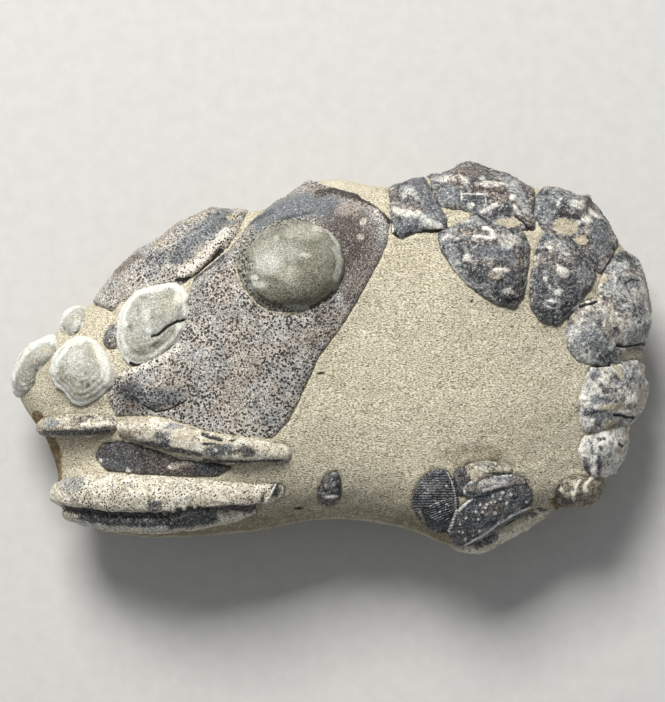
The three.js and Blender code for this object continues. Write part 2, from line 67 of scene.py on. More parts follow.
STONE_VOXEL = 0.6
STONE_WEAR = 45  # rounds of smoothing
STONE_SWELL = 0.05  # how far the stone's copy is pushed out once it is smoothed
STONE_SEED = 3
PIECE_VOXEL = 0.27
FINE_VOXELS = {"tail_fan_ribbed_lobe": 0.13, "telson": 0.16}
PIECE_GROWTH = 0.25  # before a piece is remeshed. It also closes the gap round the piece in the stone's copy
PIECE_SWELL = 0.22  # how far a piece's copy is pushed out once it is smoothed
FIRST_SEED = 120
SEED_STEP = 100

WANDER = 0.55  # how far the edges of marks stray
FINE_WANDER = 0.22  # and how far they stray in finer steps
SPOT_FADE = 0.45  # share of a spot's half size over which it fades, inwards and outwards
STREAK_FADE = 0.5  # the same share for a streak's half width
LEAST_FADE = 0.12  # of a thin streak
STREAK_STRAY = 0.6  # share of the wander that a wide streak takes
REACH_STEPS = 72  # directions in which the way to a piece's outline is known


# ---------------------------------------------------------------- seeded noise over points


def lattice(corner, seed):
    """An even random value from 0 to 1 for every whole-numbered corner. Its large numbers only mix bits."""
    mixed = corner[:, 0] * 374761393 + corner[:, 1] * 668265263 + corner[:, 2] * 1440662683 + seed * 974711
    mixed = (mixed & 0xFFFFFFFF) ^ ((mixed & 0xFFFFFFFF) >> 15)
    mixed = (mixed * 2246822519) & 0xFFFFFFFF
    mixed ^= mixed >> 13
    mixed = (mixed * 3266489917) & 0xFFFFFFFF
    return ((mixed ^ (mixed >> 16)) & 0xFFFFFF) / 0xFFFFFF


def noise(points, grain, seed):
    """Smooth noise from 0 to 1 whose lumps are about grain across."""
    scaled = points / grain
    base = np.floor(scaled).astype(np.int64)
    share = ease(scaled - base, 0, 1)
    total = np.zeros(len(points))
    for corner in itertools.product((0, 1), repeat=3):
        weight = np.prod(np.where(corner, share, 1 - share), axis=1)
        total += weight * lattice(base + corner, seed)
    return total


def fractal(points, grain, seed, octaves=3):
    """Noise from -1 to 1 with finer and weaker noise laid over it."""
    total = np.zeros(len(points))
    reach = 0
    for octave in range(octaves):
        strength = 0.5**octave
        total += strength * (2 * noise(points, grain / 2**octave, seed + octave) - 1)
        reach += strength
    return total / reach


def scatter(points, grain, seed):
    """Distance to the nearest of many scattered points, in grains."""
    scaled = points / grain
    base = np.floor(scaled).astype(np.int64)
    nearest = np.full(len(points), np.inf)
    for corner in itertools.product((-1, 0, 1), repeat=3):
        cell = base + corner
        jitter = np.stack([lattice(cell, seed + axis) for axis in range(3)], axis=1)
        nearest = np.minimum(nearest, np.linalg.norm(cell + jitter - scaled, axis=1))
    return nearest


def crust(points, grain, seed):
    """Uneven tones round 0, with broken veins, as in a decayed shell."""
    bend = [fractal(points, grain, seed + 30 + axis, 2) for axis in range(3)]
    bent = points + 0.6 * grain * np.stack(bend, axis=1)
    lumps = fractal(bent, grain, seed, 4)
    veins = ease(np.abs(fractal(bent, grain * 1.3, seed + 60, 3)), 0.09, 0.0)
    return lumps - 0.45 * veins


def ease(value, start, end):
    """0 at start, 1 at end, smooth between them."""
    share = np.clip((value - start) / (end - start), 0, 1)
    return share * share * (3 - 2 * share)


# ---------------------------------------------------------------- skins


def joined(nodes):
    """The nodes' closed meshes in one bmesh. All but the stone are grown along their normals."""
    both = bmesh.new()
    for node in nodes:
        shape = bmesh.new()
        shape.from_mesh(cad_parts[node].data)
        bmesh.ops.remove_doubles(shape, verts=shape.verts, dist=1e-6)
        shape.normal_update()
        growth = 0 if node == "stone_matrix" else PIECE_GROWTH
        for vertex in shape.verts:
            vertex.co += vertex.normal * growth * MM
        part = bpy.data.meshes.new("part")
        shape.to_mesh(part)
        both.from_mesh(part)
        shape.free()
        bpy.data.meshes.remove(part)
    return both


def remeshed(name, nodes, voxel, wear):
    """One fine closed object round the given nodes, with its facets worn away by rounds of smoothing."""
    mesh = bpy.data.meshes.new(name)
    both = joined(nodes)
    both.to_mesh(mesh)
    both.free()
    piece = bpy.data.objects.new(name, mesh)
    bpy.context.scene.collection.objects.link(piece)
    remesh = piece.modifiers.new("remesh", "REMESH")
    remesh.mode = "VOXEL"
    remesh.voxel_size = voxel * MM
    remesh.use_smooth_shade = True
    smooth = piece.modifiers.new("wear", "SMOOTH")
    smooth.factor = 0.6
    smooth.iterations = wear
    done = bpy.data.meshes.new_from_object(piece.evaluated_get(bpy.context.evaluated_depsgraph_get()))
    piece.modifiers.clear()
    piece.data = done
    done.name = name
    bpy.data.meshes.remove(mesh)
    return piece


class Skin:
    """The fine copy of a CAD piece while it is being shaped and painted."""

    def __init__(self, node, voxel, wear, swell, seed, with_nodes=()):
        self.node = node
        self.seed = seed
        self.piece = remeshed(f"{node}_skin", [node, *with_nodes], voxel, wear)
        self.low, high = (np.array(corner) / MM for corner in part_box(node))
        self.size = high - self.low
        self.normals = self.vectors("normal")
        self.points = self.vectors("co") / MM + self.normals * swell
        self.lift = np.zeros(len(self.points))
        self.masks = {}
        self.wander = self.drift(1.7, 40) * WANDER + self.drift(0.6, 70) * FINE_WANDER

    def vectors(self, name):
        """One vector of every vertex: its place or its normal."""
        flat = np.zeros(len(self.piece.data.vertices) * 3, np.float32)
        self.piece.data.vertices.foreach_get(name, flat)
        return flat.reshape(-1, 3).astype(float)

    def drift(self, grain, seed):
        """Noise from -1 to 1 both ways across the plan."""
        return np.stack([fractal(self.points, grain, self.seed + seed + step) for step in (0, 10)], axis=1)

    def place(self, share):
        """The plan place at a share of the piece's box."""
        return self.low[:2] + np.array(share) * self.size[:2]

    def spot(self, share, size, turn=0):
        """A mask that is 1 inside an ellipse of the given half sizes. Small spots stray less."""
        half = size if isinstance(size, tuple) else (size, size)
        away = self.points[:, :2] + self.wander * min(1.0, *half) - self.place(share)
        angle = math.radians(turn)
        along = away @ np.array([math.cos(angle), math.sin(angle)])
        across = away @ np.array([-math.sin(angle), math.cos(angle)])
        return ease(np.hypot(along / half[0], across / half[1]), 1 + SPOT_FADE, 1 - SPOT_FADE)

    def streak(self, shares, width):
        """A mask along a line through the given places, of the given half width. Thin streaks stray less."""
        here = self.points[:, :2] + self.wander * min(STREAK_STRAY, width)
        stops = [self.place(share) for share in shares]
        nearest = np.full(len(here), np.inf)
        for start, end in zip(stops, stops[1:]):
            run = end - start
            share = np.clip((here - start) @ run / (run @ run), 0, 1)
            nearest = np.minimum(nearest, np.linalg.norm(here - start - share[:, None] * run, axis=1))
        fade = max(width * STREAK_FADE, LEAST_FADE)
        return ease(nearest, width + fade, width - fade)

    def reach(self):
        """Share of the way from the middle of the piece to its outline, seen from above."""
        away = self.points[:, :2] - self.place((0.5, 0.5))
        step = (np.arctan2(away[:, 1], away[:, 0]) / math.tau * REACH_STEPS).astype(int) % REACH_STEPS
        radius = np.hypot(away[:, 0], away[:, 1])
        outline = np.zeros(REACH_STEPS)
        np.maximum.at(outline, step, radius)
        for _ in range(3):
            outline = (np.roll(outline, 1) + 2 * outline + np.roll(outline, -1)) / 4
        return radius / outline[step]

    def fade(self, axis, start, end):
        """0 at one share of the box along an axis, 1 at the other."""
        first, last = (self.low[axis] + share * self.size[axis] for share in (start, end))
        return ease(self.points[:, axis], first, last)

    def mark(self, channel, where, size, strength, turn, lift):
        """Paints and raises one spot, where is a place, or one streak, where is a list of places."""
        mask = self.streak(where, size) if isinstance(where, list) else self.spot(where, size, turn)
        for name, goal in TINTS[channel].items():
            self.paint(name, mask, strength, goal)
        self.raise_by(lift, mask)

    def paint(self, channel, mask, strength=1.0, goal=1.0):
        """Draws a channel towards its goal where the mask is."""
        held = self.masks.setdefault(channel, np.zeros(len(self.points)))
        self.masks[channel] = held + (goal - held) * mask * strength

    def raise_by(self, height, mask):
        self.lift += height * mask

    def finish(self, material, slot):
        """Lays the piece's marks, moves its vertices, stores its masks, gives it its material and attaches it
        to the root body.
        """
        for each in MARKS[self.node]:
            self.mark(**each)
        self.points += self.normals * self.lift[:, None]
        mesh = self.piece.data
        mesh.vertices.foreach_set("co", (self.points * MM).astype(np.float32).ravel())
        mesh.update()
        for channel, mask in self.masks.items():
            stored = mesh.attributes.new(channel, "FLOAT", "POINT")
            stored.data.foreach_set("value", mask.astype(np.float32))
        mesh.materials.clear()
        mesh.materials.append(material)
        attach(self.piece, "root")
        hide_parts(self.node)


# ---------------------------------------------------------------- node materials

BUMP_DEPTH = 0.2
GLOSS = 0.34  # roughness where the shell is polished


def tone(code):
    """A linear colour from the six hexadecimal digits that name it."""
    parts = [int(code[i : i + 2], 16) / 255 for i in (0, 2, 4)]
    return (*[c / 12.92 if c <= 0.04045 else ((c + 0.055) / 1.055) ** 2.4 for c in parts], 1.0)


class Recipe:
    """A node material while it is being put together, layer upon layer."""

    def __init__(self, name, roughness, specular):
        self.data = bpy.data.materials.new(name)
        self.data.use_nodes = True
        self.tree = self.data.node_tree
        self.shader = self.tree.nodes["Principled BSDF"]
        self.shader.inputs["Roughness"].default_value = roughness
        self.shader.inputs["Specular IOR Level"].default_value = specular
        self.coordinates = self.make("ShaderNodeTexCoord", {}).outputs["Object"]
        self.colour = None

    def make(self, kind, inputs, **settings):
        made = self.tree.nodes.new(kind)
        for key, value in settings.items():
            setattr(made, key, value)
        for key, value in inputs.items():
            if isinstance(value, bpy.types.NodeSocket):
                self.tree.links.new(value, made.inputs[key])
            else:
                made.inputs[key].default_value = value
        return made

    def noise(self, grain, detail=3.0, rough=0.6, distortion=0.0, stretch=None):
        """Noise whose lumps are about grain across, or longer where stretch is under 1."""
        place = self.coordinates
        if stretch:
            place = self.make("ShaderNodeMapping", {"Vector": place, "Scale": stretch}).outputs["Vector"]
        inputs = {"Vector": place, "Scale": 1 / (grain * MM), "Detail": detail, "Roughness": rough}
        return self.make("ShaderNodeTexNoise", {**inputs, "Distortion": distortion}).outputs[0]

    def dots(self, grain):
        """Distance to points scattered about grain apart, in grains."""
        inputs = {"Vector": self.coordinates, "Scale": 1 / (grain * MM), "Randomness": 1.0}
        return self.make("ShaderNodeTexVoronoi", inputs).outputs["Distance"]

    def mask(self, channel):
        return self.make("ShaderNodeAttribute", {}, attribute_name=channel).outputs["Fac"]

    def maths(self, operation, a, b, c=0.0):
        return self.make("ShaderNodeMath", {0: a, 1: b, 2: c}, operation=operation).outputs[0]

    def swing(self, value, strength):
        """Turns a value from 0 to 1 into one that swings round 0, from end to end by the strength."""
        return self.maths("MULTIPLY_ADD", value, strength, -strength / 2)

    def span(self, value, low, high, start=0.0, end=1.0):
        """Maps low..high smoothly to start..end."""
        inputs = {"Value": value, "From Min": low, "From Max": high, "To Min": start, "To Max": end}
        return self.make("ShaderNodeMapRange", inputs, interpolation_type="SMOOTHSTEP").outputs["Result"]

    def ramp(self, value, stops):
        """Colours over a value, from (position, hexadecimal colour) stops."""
        made = self.make("ShaderNodeValToRGB", {"Fac": value})
        elements = made.color_ramp.elements
        while len(elements) < len(stops):
            elements.new(0.5)
        for element, (position, code) in zip(elements, stops):
            element.position = position
            element.color = tone(code)
        return made.outputs["Color"]

    def blend(self, share, a, b):
        return self.make("ShaderNodeMix", {0: share, 6: a, 7: b}, data_type="RGBA").outputs[2]

    def torn(self, channel, grain, ragged=1.5, soft=0.2):
        """A painted mask with its edge torn by noise."""
        jitter = self.swing(self.noise(grain, 4.0, 0.75), ragged)
        return self.span(self.maths("ADD", self.mask(channel), jitter), 0.5 - soft, 0.5 + soft)

    def layer(self, share, colours):
        self.colour = self.blend(share, self.colour, colours)

    def finish(self, height=None, roughness=None):
        """Joins the colour and the bump to the shader."""
        self.tree.links.new(self.colour, self.shader.inputs["Base Color"])
        if height is not None:
            relief = {"Height": height, "Distance": BUMP_DEPTH * MM, "Strength": 1.0}
            bump = self.make("ShaderNodeBump", relief)
            self.tree.links.new(bump.outputs[0], self.shader.inputs["Normal"])
        if roughness is not None:
            self.tree.links.new(roughness, self.shader.inputs["Roughness"])
        return self.data


def stone_material():
    """Sugary beige stone in short flat grains, browner and rougher where it is weathered, darker where shade
    is painted.
    """
    recipe = Recipe("nodule_stone", roughness=0.92, specular=0.2)
    grain = recipe.noise(0.2, 3, 0.65, stretch=(0.5, 1.0, 0.8))
    sugar = [(0.34, "51493a"), (0.42, "938a73"), (0.5, "bdb59e"), (0.64, "e9e2cf")]
    recipe.colour = recipe.ramp(grain, sugar)
    clouds = recipe.noise(7.0, 4, 0.6)
    recipe.layer(recipe.span(clouds, 0.45, 0.75, 0.0, 0.22), tone("958b74"))
    cream = recipe.ramp(grain, [(0.3, "98907c"), (0.5, "c6bea8"), (0.7, "e4ddca")])
    recipe.layer(recipe.torn("cream", 1.2), cream)
    # Painted shade: a darker, browner layer where the face turns away from the light and in the hollow above
    # the tail fan.
    painted_shade = recipe.ramp(grain, [(0.3, "4f4738"), (0.5, "857b66"), (0.7, "aca289")])
    recipe.layer(recipe.torn("painted_shade", 2.0, soft=0.45), painted_shade)
    rind = recipe.ramp(recipe.noise(0.8), [(0.3, "4f4130"), (0.5, "7c6a4e"), (0.7, "a08d6b")])
    recipe.layer(recipe.torn("rind", 1.5), rind)
    dark = recipe.ramp(recipe.noise(0.4), [(0.3, "1d1a15"), (0.7, "474035")])
    recipe.layer(recipe.torn("dark", 0.5, 0.9), dark)
    lumps = recipe.maths("MULTIPLY", recipe.noise(1.6, 4, 0.65), 1.5)
    return recipe.finish(recipe.maths("ADD", grain, lumps))


def shell_material(name, cool, warm, roughness, coarse, fine, flecks):
    """Fossil shell. Its tone runs from black to white, broken up by coarse and fine noise, along a cool and a
    warm set of colours. Stony crust, white flecks, pits and cracks lie over that. Polish smooths it."""
    recipe = Recipe(name, roughness, specular=0.5)
    mottle = recipe.noise(0.75, 5, 0.8, distortion=0.5)
    speckle = recipe.noise(0.26, 3, 0.8)
    polish = recipe.mask("polish")
    broken = recipe.maths("ADD", recipe.swing(mottle, coarse), recipe.swing(speckle, fine))
    broken = recipe.maths("MULTIPLY", broken, recipe.maths("MULTIPLY_ADD", polish, -0.6, 1.0))
    value = recipe.maths("ADD", recipe.mask("tone"), broken)
    warmth = recipe.torn("warmth", 1.0, soft=0.5)
    recipe.colour = recipe.blend(warmth, recipe.ramp(value, cool), recipe.ramp(value, warm))

    stony = [(0.3, "7f7565"), (0.45, "a99e88"), (0.6, "cac0a8"), (0.75, "e3dbc8")]
    recipe.layer(recipe.torn("stony", 0.9, 2.4), recipe.ramp(recipe.noise(0.35, 3), stony))
    lace = recipe.span(recipe.noise(0.55, 4, 0.75), 0.57, 0.66)
    recipe.layer(recipe.maths("MULTIPLY", lace, flecks), tone("e6e2d8"))
    pit = recipe.maths("SUBTRACT", recipe.maths("MULTIPLY", recipe.mask("pits"), 0.56), recipe.dots(0.55))
    pit = recipe.maths("ADD", pit, recipe.swing(speckle, 0.35))
    pit = recipe.span(recipe.maths("ADD", pit, recipe.swing(mottle, 1.3)), -0.04, 0.06)
    recipe.layer(pit, tone("2e2a28"))
    recipe.layer(recipe.torn("crack", 0.5, 0.7), tone("15130f"))

    height = recipe.maths("ADD", mottle, recipe.maths("MULTIPLY", speckle, 0.8))
    height = recipe.maths("SUBTRACT", height, recipe.maths("MULTIPLY", pit, 0.5))
    height = recipe.maths("MULTIPLY", height, recipe.maths("MULTIPLY_ADD", polish, -0.7, 1.0))
    return recipe.finish(height, recipe.span(polish, 0.0, 1.0, roughness, GLOSS))


# ---------------------------------------------------------------- marks

# What a mark does to the channels that the materials read.
TINTS = {
    "black": {"tone": 0.06, "warmth": 0.3},
    "dark": {"tone": 0.26, "warmth": 0.2},
    "slate": {"tone": 0.42, "warmth": 0.0, "polish": 0.7},
    "grey": {"tone": 0.58, "warmth": 0.1, "polish": 0.4},
    "stain": {"tone": 0.4, "warmth": 1.0},
    "crest": {"tone": 0.24, "warmth": 1.0},
    "tan": {"tone": 0.68, "warmth": 1.0},
    "pale": {"tone": 0.8},
    "white": {"tone": 0.94},
    "warm": {"stony": 1.0},
    "crack": {"crack": 1.0},
    "cream": {"cream": 1.0},
    "rind": {"rind": 1.0},
    # Painted shade on the stone: darkens it where the light falls off.
    "painted_shade": {"painted_shade": 1.0},
    "blot": {"dark": 1.0},
}


def mark(channel, where, size, strength=1.0, turn=0, lift=0.0):
    """A spot, if where is one place and size its half size or sizes. A streak, if where is a list of places
    and size its half width. Strength is the share of the tint that it takes, and turn is in degrees."""
    shape = {"channel": channel, "where": where, "size": size}
    return {**shape, "strength": strength, "turn": turn, "lift": lift}


def dots(channel, places, size, strength=1.0, lift=0.0):
    """The same spot at each of several places."""
    return [mark(channel, place, size, strength, lift=lift) for place in places]


# The marks of every piece, in the order in which they are laid.
MARKS = {}

MARKS["stone_matrix"] = [
    mark("blot", (0.48, 0.46), (0.9, 0.2)),
    mark("blot", (0.555, 0.48), 0.4),
    mark("blot", (0.545, 0.295), (0.25, 0.6)),
    mark("blot", (0.715, 0.65), 0.2),
    mark("blot", (0.445, 0.1), (0.8, 0.3), lift=-0.3),
    mark("cream", (0.52, 0.97), (6.0, 2.5), 0.6),
    mark("cream", [(0.64, 0.95), (0.67, 0.87), (0.68, 0.83)], 0.9),
    mark("cream", [(0.8, 0.95), (0.82, 0.85)], 0.9),
    mark("cream", (0.9, 0.77), (1.5, 1.2)),
    mark("cream", (0.955, 0.5), (2.0, 1.6)),
    mark("cream", (0.165, 0.64), (0.6, 0.9), lift=0.3),
    *dots("cream", [(0.14, 0.62), (0.13, 0.6)], 0.6, lift=0.2),
    # Painted shade in the hollow above the tail fan.
    mark("painted_shade", (0.72, 0.24), (7.0, 2.4), 0.6),
    mark("rind", [(0.03, 0.35), (0.06, 0.25), (0.06, 0.18)], 1.2),
    mark("rind", (0.87, 0.12), (3.5, 2.0)),
]

MARKS["carapace"] = [
    mark("white", [(0.03, 0.25), (0.15, 0.27), (0.25, 0.34)], 0.8, 0.7, lift=0.2),
    mark("tan", (0.31, 0.36), 0.9, lift=0.4),
    mark("dark", (0.08, 0.18), (2.6, 1.8), 0.8, lift=0.4),
    mark("stain", (0.07, 0.12), (2.2, 1.0), 0.7),
    mark("slate", (0.2, 0.155), (4.2, 1.9), 0.7, turn=8, lift=0.2),
    mark("crack", [(0.12, 0.13), (0.17, 0.1), (0.22, 0.11), (0.28, 0.145)], 0.15, lift=-0.2),
    mark("slate", (0.52, 0.09), (4.5, 2.5), 0.1),
    mark("dark", [(0.52, 0.13), (0.56, 0.06)], 0.8, 0.25),
    mark("dark", (0.77, 0.45), (2.2, 1.8), 0.25),
    mark("stain", (0.72, 0.38), (1.6, 1.4), 0.35),
    mark("dark", (0.86, 0.54), (1.6, 2.0), 0.3),
    mark("slate", [(0.55, 0.83), (0.6, 0.88), (0.7, 0.9), (0.8, 0.87)], 2.5, 0.95),
    mark("dark", [(0.6, 0.83), (0.66, 0.85), (0.72, 0.86)], 0.35, 0.8),
    mark("crest", (0.82, 0.73), (6.0, 7.5), 0.85, turn=-30),
    mark("crest", [(0.74, 0.935), (0.8, 0.945), (0.87, 0.925)], 0.8, lift=0.2),
    mark("crest", [(0.87, 0.925), (0.96, 0.88), (0.99, 0.83)], 0.4),
    mark("tan", (0.84, 0.87), (2.0, 1.6), 0.6),
    *dots("pale", [(0.9, 0.82), (0.95, 0.86)], 0.7, 0.8),
    mark("pale", (0.89, 0.76), 0.6, 0.8),
    mark("stain", [(0.93, 0.7), (0.86, 0.55)], 1.8, 0.5),
    mark("dark", [(0.27, 0.59), (0.33, 0.64), (0.4, 0.7)], 0.6, 0.7),
    mark("tan", (0.45, 0.75), (1.6, 1.2), 0.7),
    mark("dark", [(0.5, 0.83), (0.57, 0.87)], 0.6, 0.8),
]

MARKS["carapace_front_lobe"] = [
    mark("stain", [(0.15, 0.42), (0.22, 0.5), (0.28, 0.55)], 0.8, 0.8),
    mark("slate", (0.42, 0.52), (2.5, 1.4), 0.5),
    mark("warm", (0.43, 0.65), (1.5, 0.9), 0.7),
    mark("slate", [(0.85, 0.9), (0.75, 0.8), (0.65, 0.68), (0.55, 0.52)], 1.8, 0.8),
    mark("dark", (0.55, 0.5), (1.2, 0.9), 0.6),
    mark("white", [(0.87, 0.75), (0.77, 0.6), (0.68, 0.45), (0.58, 0.35)], 1.0, 0.8, lift=0.3),
    mark("stain", [(0.83, 0.57), (0.78, 0.47), (0.7, 0.36), (0.63, 0.27), (0.6, 0.23)], 1.1, 0.7),
    mark("crack", [(0.83, 0.57), (0.78, 0.47), (0.7, 0.36), (0.63, 0.27), (0.6, 0.23)], 0.6, lift=-0.4),
    mark("crack", [(0.55, 0.31), (0.63, 0.32)], 0.4, lift=-0.2),
    mark("stain", [(0.88, 0.62), (0.93, 0.66), (1.0, 0.68)], 0.8, 0.7),
    *dots("dark", [(0.75, 0.93), (0.8, 0.93), (0.88, 0.93)], 0.35),
    mark("warm", (0.9, 0.9), (1.2, 0.8), 0.8),
    mark("grey", (0.4, 0.38), (1.6, 1.2), 0.8),
]

MARKS["shell_large"] = [
    mark("tan", (0.62, 0.83), (3.5, 1.6), 0.7),
    mark("pale", (0.75, 0.87), 0.9, 0.8),
    *dots("grey", [(0.38, 0.77), (0.5, 0.78)], 0.6),
    # Painted light: the lit upper left of the dome.
    mark("pale", (0.4, 0.62), (4.5, 2.2), 0.35),
    mark("pale", (0.3, 0.5), (2.6, 2.2), 0.7),
    mark("grey", (0.22, 0.6), (0.8, 1.6), 0.6),
    mark("slate", [(0.85, 0.7), (0.85, 0.6)], 1.6, 0.5),
    mark("white", (0.65, 0.58), (1.2, 0.5), 0.5),
    mark("tan", (0.5, 0.4), (2.2, 1.6), 0.7),
    mark("stain", (0.65, 0.4), (2.0, 1.3), 0.7),
    mark("stain", (0.7, 0.33), (2.2, 1.2), 0.7),
    mark("slate", (0.85, 0.42), (1.4, 1.2), 0.7),
    mark("stain", (0.85, 0.27), (2.2, 1.3), 0.8),
    # Painted shade on the dome's steep lower slope.
    mark("dark", [(0.25, 0.15), (0.45, 0.15), (0.65, 0.16), (0.85, 0.2)], 1.5, 0.6),
    mark("black", (0.55, 0.13), (1.6, 0.5), 0.5),
    mark("black", (0.38, 0.09), (1.2, 0.5), 0.5),
    mark("stain", (0.2, 0.17), (1.4, 0.8), 0.6),
    mark("stain", (0.3, 0.22), (1.4, 0.7), 0.6),
    mark("grey", (0.55, 0.05), (4.0, 0.7), 0.8),
    mark("black", [(0.92, 0.23), (0.85, 0.17), (0.75, 0.1), (0.7, 0.07)], 0.3),
    mark("pale", [(0.75, 0.93), (0.87, 0.84), (0.95, 0.7), (0.98, 0.55)], 0.35, 0.7),
    mark("pale", [(0.93, 0.65), (0.97, 0.55), (0.96, 0.45), (0.93, 0.35)], 0.6, 0.6, lift=0.2),
    mark("white", (0.18, 0.36), (0.8, 0.5), 0.9),
    mark("pale", (0.22, 0.29), (1.8, 0.7), 0.8),
]

MARKS["shell_middle"] = [
    mark("grey", (0.22, 0.72), (0.8, 1.8), 0.8),
    mark("dark", (0.3, 0.68), (0.3, 1.2), 0.5),
    mark("stain", (0.38, 0.82), (0.8, 0.3), 0.7),
    mark("tan", (0.7, 0.72), (2.2, 1.7), 0.9),
    mark("pale", (0.42, 0.6), (0.8, 1.7), 0.9),
    mark("pale", (0.45, 0.42), (0.7, 1.0), 0.8),
    mark("stain", (0.2, 0.45), (0.6, 0.8), 0.6),
    mark("tan", (0.25, 0.27), (1.2, 0.8), 0.8),
    mark("stain", (0.35, 0.17), (1.6, 0.6), 0.7),
    mark("grey", (0.8, 0.57), (1.6, 0.6), 0.7),
    # Painted shade under the crease.
    mark("dark", (0.58, 0.26), (1.4, 0.6), 0.7, turn=25),
    mark("pale", [(0.55, 0.1), (0.7, 0.2), (0.85, 0.32), (0.95, 0.42)], 1.0, lift=0.2),
    mark("dark", [(0.5, 0.03), (0.6, 0.1), (0.7, 0.18), (0.8, 0.24), (0.9, 0.3)], 0.2, 0.7, lift=-0.15),
    mark("white", (0.9, 0.45), (1.0, 0.9), lift=0.2),
    mark("crack", [
        (0.98, 0.55), (0.85, 0.52), (0.72, 0.46), (0.65, 0.41), (0.58, 0.36), (0.5, 0.34),
    ], 0.25, lift=-0.4),
    mark("white", (0.88, 0.82), (1.0, 1.8), turn=-30, lift=0.4),
    mark("white", [
        (0.5, 0.9), (0.62, 0.92), (0.72, 0.97), (0.82, 0.97), (0.92, 0.9), (0.95, 0.8),
    ], 0.5, lift=0.3),
    mark("white", [(0.95, 0.8), (0.96, 0.68), (0.98, 0.57)], 0.5, lift=0.3),
    mark("white", [
        (0.07, 0.3), (0.08, 0.5), (0.12, 0.65), (0.2, 0.8), (0.35, 0.89), (0.5, 0.9),
    ], 0.4, lift=0.2),
    mark("pale", [(0.1, 0.45), (0.1, 0.25), (0.13, 0.15)], 0.6, lift=0.15),
    mark("pale", [(0.13, 0.15), (0.18, 0.08), (0.2, 0.03)], 0.25),
    mark("crack", [(0.2, 0.03), (0.28, 0.0), (0.4, 0.01)], 0.3),
]

MARKS["shell_lower"] = [
    mark("pale", (0.4, 0.7), (1.4, 1.6), 0.5),
    mark("grey", (0.6, 0.72), (0.8, 1.4), 0.6),
    mark("grey", (0.47, 0.83), (0.7, 0.6), 0.6),
    mark("tan", [(0.65, 0.85), (0.72, 0.7), (0.75, 0.55)], 0.4, 0.8),
    mark("stain", (0.2, 0.48), (0.7, 0.9), 0.5),
    mark("stain", (0.3, 0.35), (1.6, 0.7), 0.5),
    mark("grey", (0.62, 0.45), (1.0, 1.0), 0.6),
    mark("tan", (0.55, 0.15), (2.5, 1.2), 0.8),
    mark("dark", (0.61, 0.27), 0.5, 0.8),
    mark("dark", (0.53, 0.28), (0.25, 0.5), 0.8),
    *dots("dark", [(0.57, 0.45), (0.7, 0.33)], 0.25, 0.6),
    mark("white", [
        (0.73, 0.85), (0.8, 0.75), (0.85, 0.6), (0.88, 0.5), (0.9, 0.4), (0.93, 0.3),
    ], 0.9, lift=0.3),
    mark("white", [
        (0.03, 0.45), (0.1, 0.55), (0.15, 0.65), (0.22, 0.75), (0.3, 0.85), (0.4, 0.9),
    ], 0.4, lift=0.2),
    mark("white", [(0.4, 0.9), (0.48, 0.9), (0.55, 0.95)], 0.4, lift=0.2),
    mark("white", [(0.85, 0.18), (0.75, 0.08), (0.65, 0.03), (0.57, 0.0)], 0.3, 0.8),
]

MARKS["shell_left"] = [
    mark("grey", (0.25, 0.35), (1.2, 1.6), 0.7),
    mark("grey", (0.35, 0.55), (0.8, 1.2), 0.5),
    mark("tan", (0.55, 0.55), (1.2, 0.9), 0.8),
    mark("warm", (0.75, 0.72), (1.4, 0.8), 0.7),
    mark("grey", (0.75, 0.42), (0.8, 0.4)),
    mark("white", [
        (0.05, 0.1), (0.08, 0.25), (0.13, 0.4), (0.2, 0.52), (0.3, 0.65), (0.45, 0.8),
    ], 0.6, lift=0.2),
    mark("white", [(0.45, 0.8), (0.6, 0.88), (0.75, 0.93), (0.9, 0.9), (1.0, 0.85)], 0.8, lift=0.2),
    mark("white", [
        (0.9, 0.6), (0.8, 0.5), (0.7, 0.43), (0.62, 0.42), (0.63, 0.3), (0.6, 0.2),
    ], 0.35, lift=0.2),
    mark("white", [(0.85, 0.45), (0.8, 0.35), (0.7, 0.33), (0.66, 0.25)], 0.3, lift=0.15),
    mark("white", [(0.45, 0.13), (0.35, 0.1), (0.3, 0.17)], 0.4, 0.8),
]

MARKS["shell_small"] = [
    mark("tan", (0.5, 0.6), (1.2, 1.4), 0.7),
    mark("grey", (0.65, 0.25), 0.5, 0.6),
    mark("stain", (0.7, 0.12), (0.5, 0.3), 0.8),
    mark("stain", [(0.7, 0.12), (0.79, 0.32)], 0.15, 0.7),
    mark("dark", [(0.16, 0.38), (0.2, 0.25)], 0.12, 0.7),
    *dots("dark", [(0.84, 0.48), (0.94, 0.5)], 0.12),
    mark("white", [(0.0, 0.4), (0.1, 0.58), (0.25, 0.78), (0.45, 0.92), (0.7, 0.98)], 0.35, lift=0.15),
    mark("white", [(0.9, 0.41), (0.87, 0.22)], 0.2, lift=0.1),
]

MARKS["dark_grain"] = [
    mark("grey", (0.7, 0.7), (0.6, 0.6)),
    mark("dark", [(0.26, 0.38), (0.38, 0.15)], 0.2),
    *dots("dark", [(0.75, 0.08), (0.93, 0.08)], 0.2),
    *dots("pale", [(0.38, 0.33), (0.91, 0.27)], 0.2),
    mark("white", (0.78, 0.97), 0.2),
]

MARKS["upper_claw"] = [
    mark("warm", (0.03, 0.55), (0.9, 1.2), 0.8),
    mark("grey", (0.18, 0.6), (1.6, 1.0), 0.9),
    mark("pale", (0.35, 0.7), (1.6, 0.7), 0.7),
    mark("white", (0.4, 0.35), (0.8, 0.3), 0.8),
    mark("dark", (0.57, 0.65), (0.9, 0.7), 0.6),
    mark("dark", (0.68, 0.85), (0.8, 0.3), 0.8),
    mark("dark", (0.97, 0.65), 0.4, 0.8),
    mark("white", [(0.6, 0.45), (0.7, 0.45), (0.85, 0.5), (0.98, 0.5)], 0.5, 0.9, lift=0.2),
    # Painted shadow along the claw's lower edge.
    mark("dark", [(0.1, 0.12), (0.35, 0.08), (0.6, 0.1), (0.9, 0.15)], 0.5, 0.8),
]

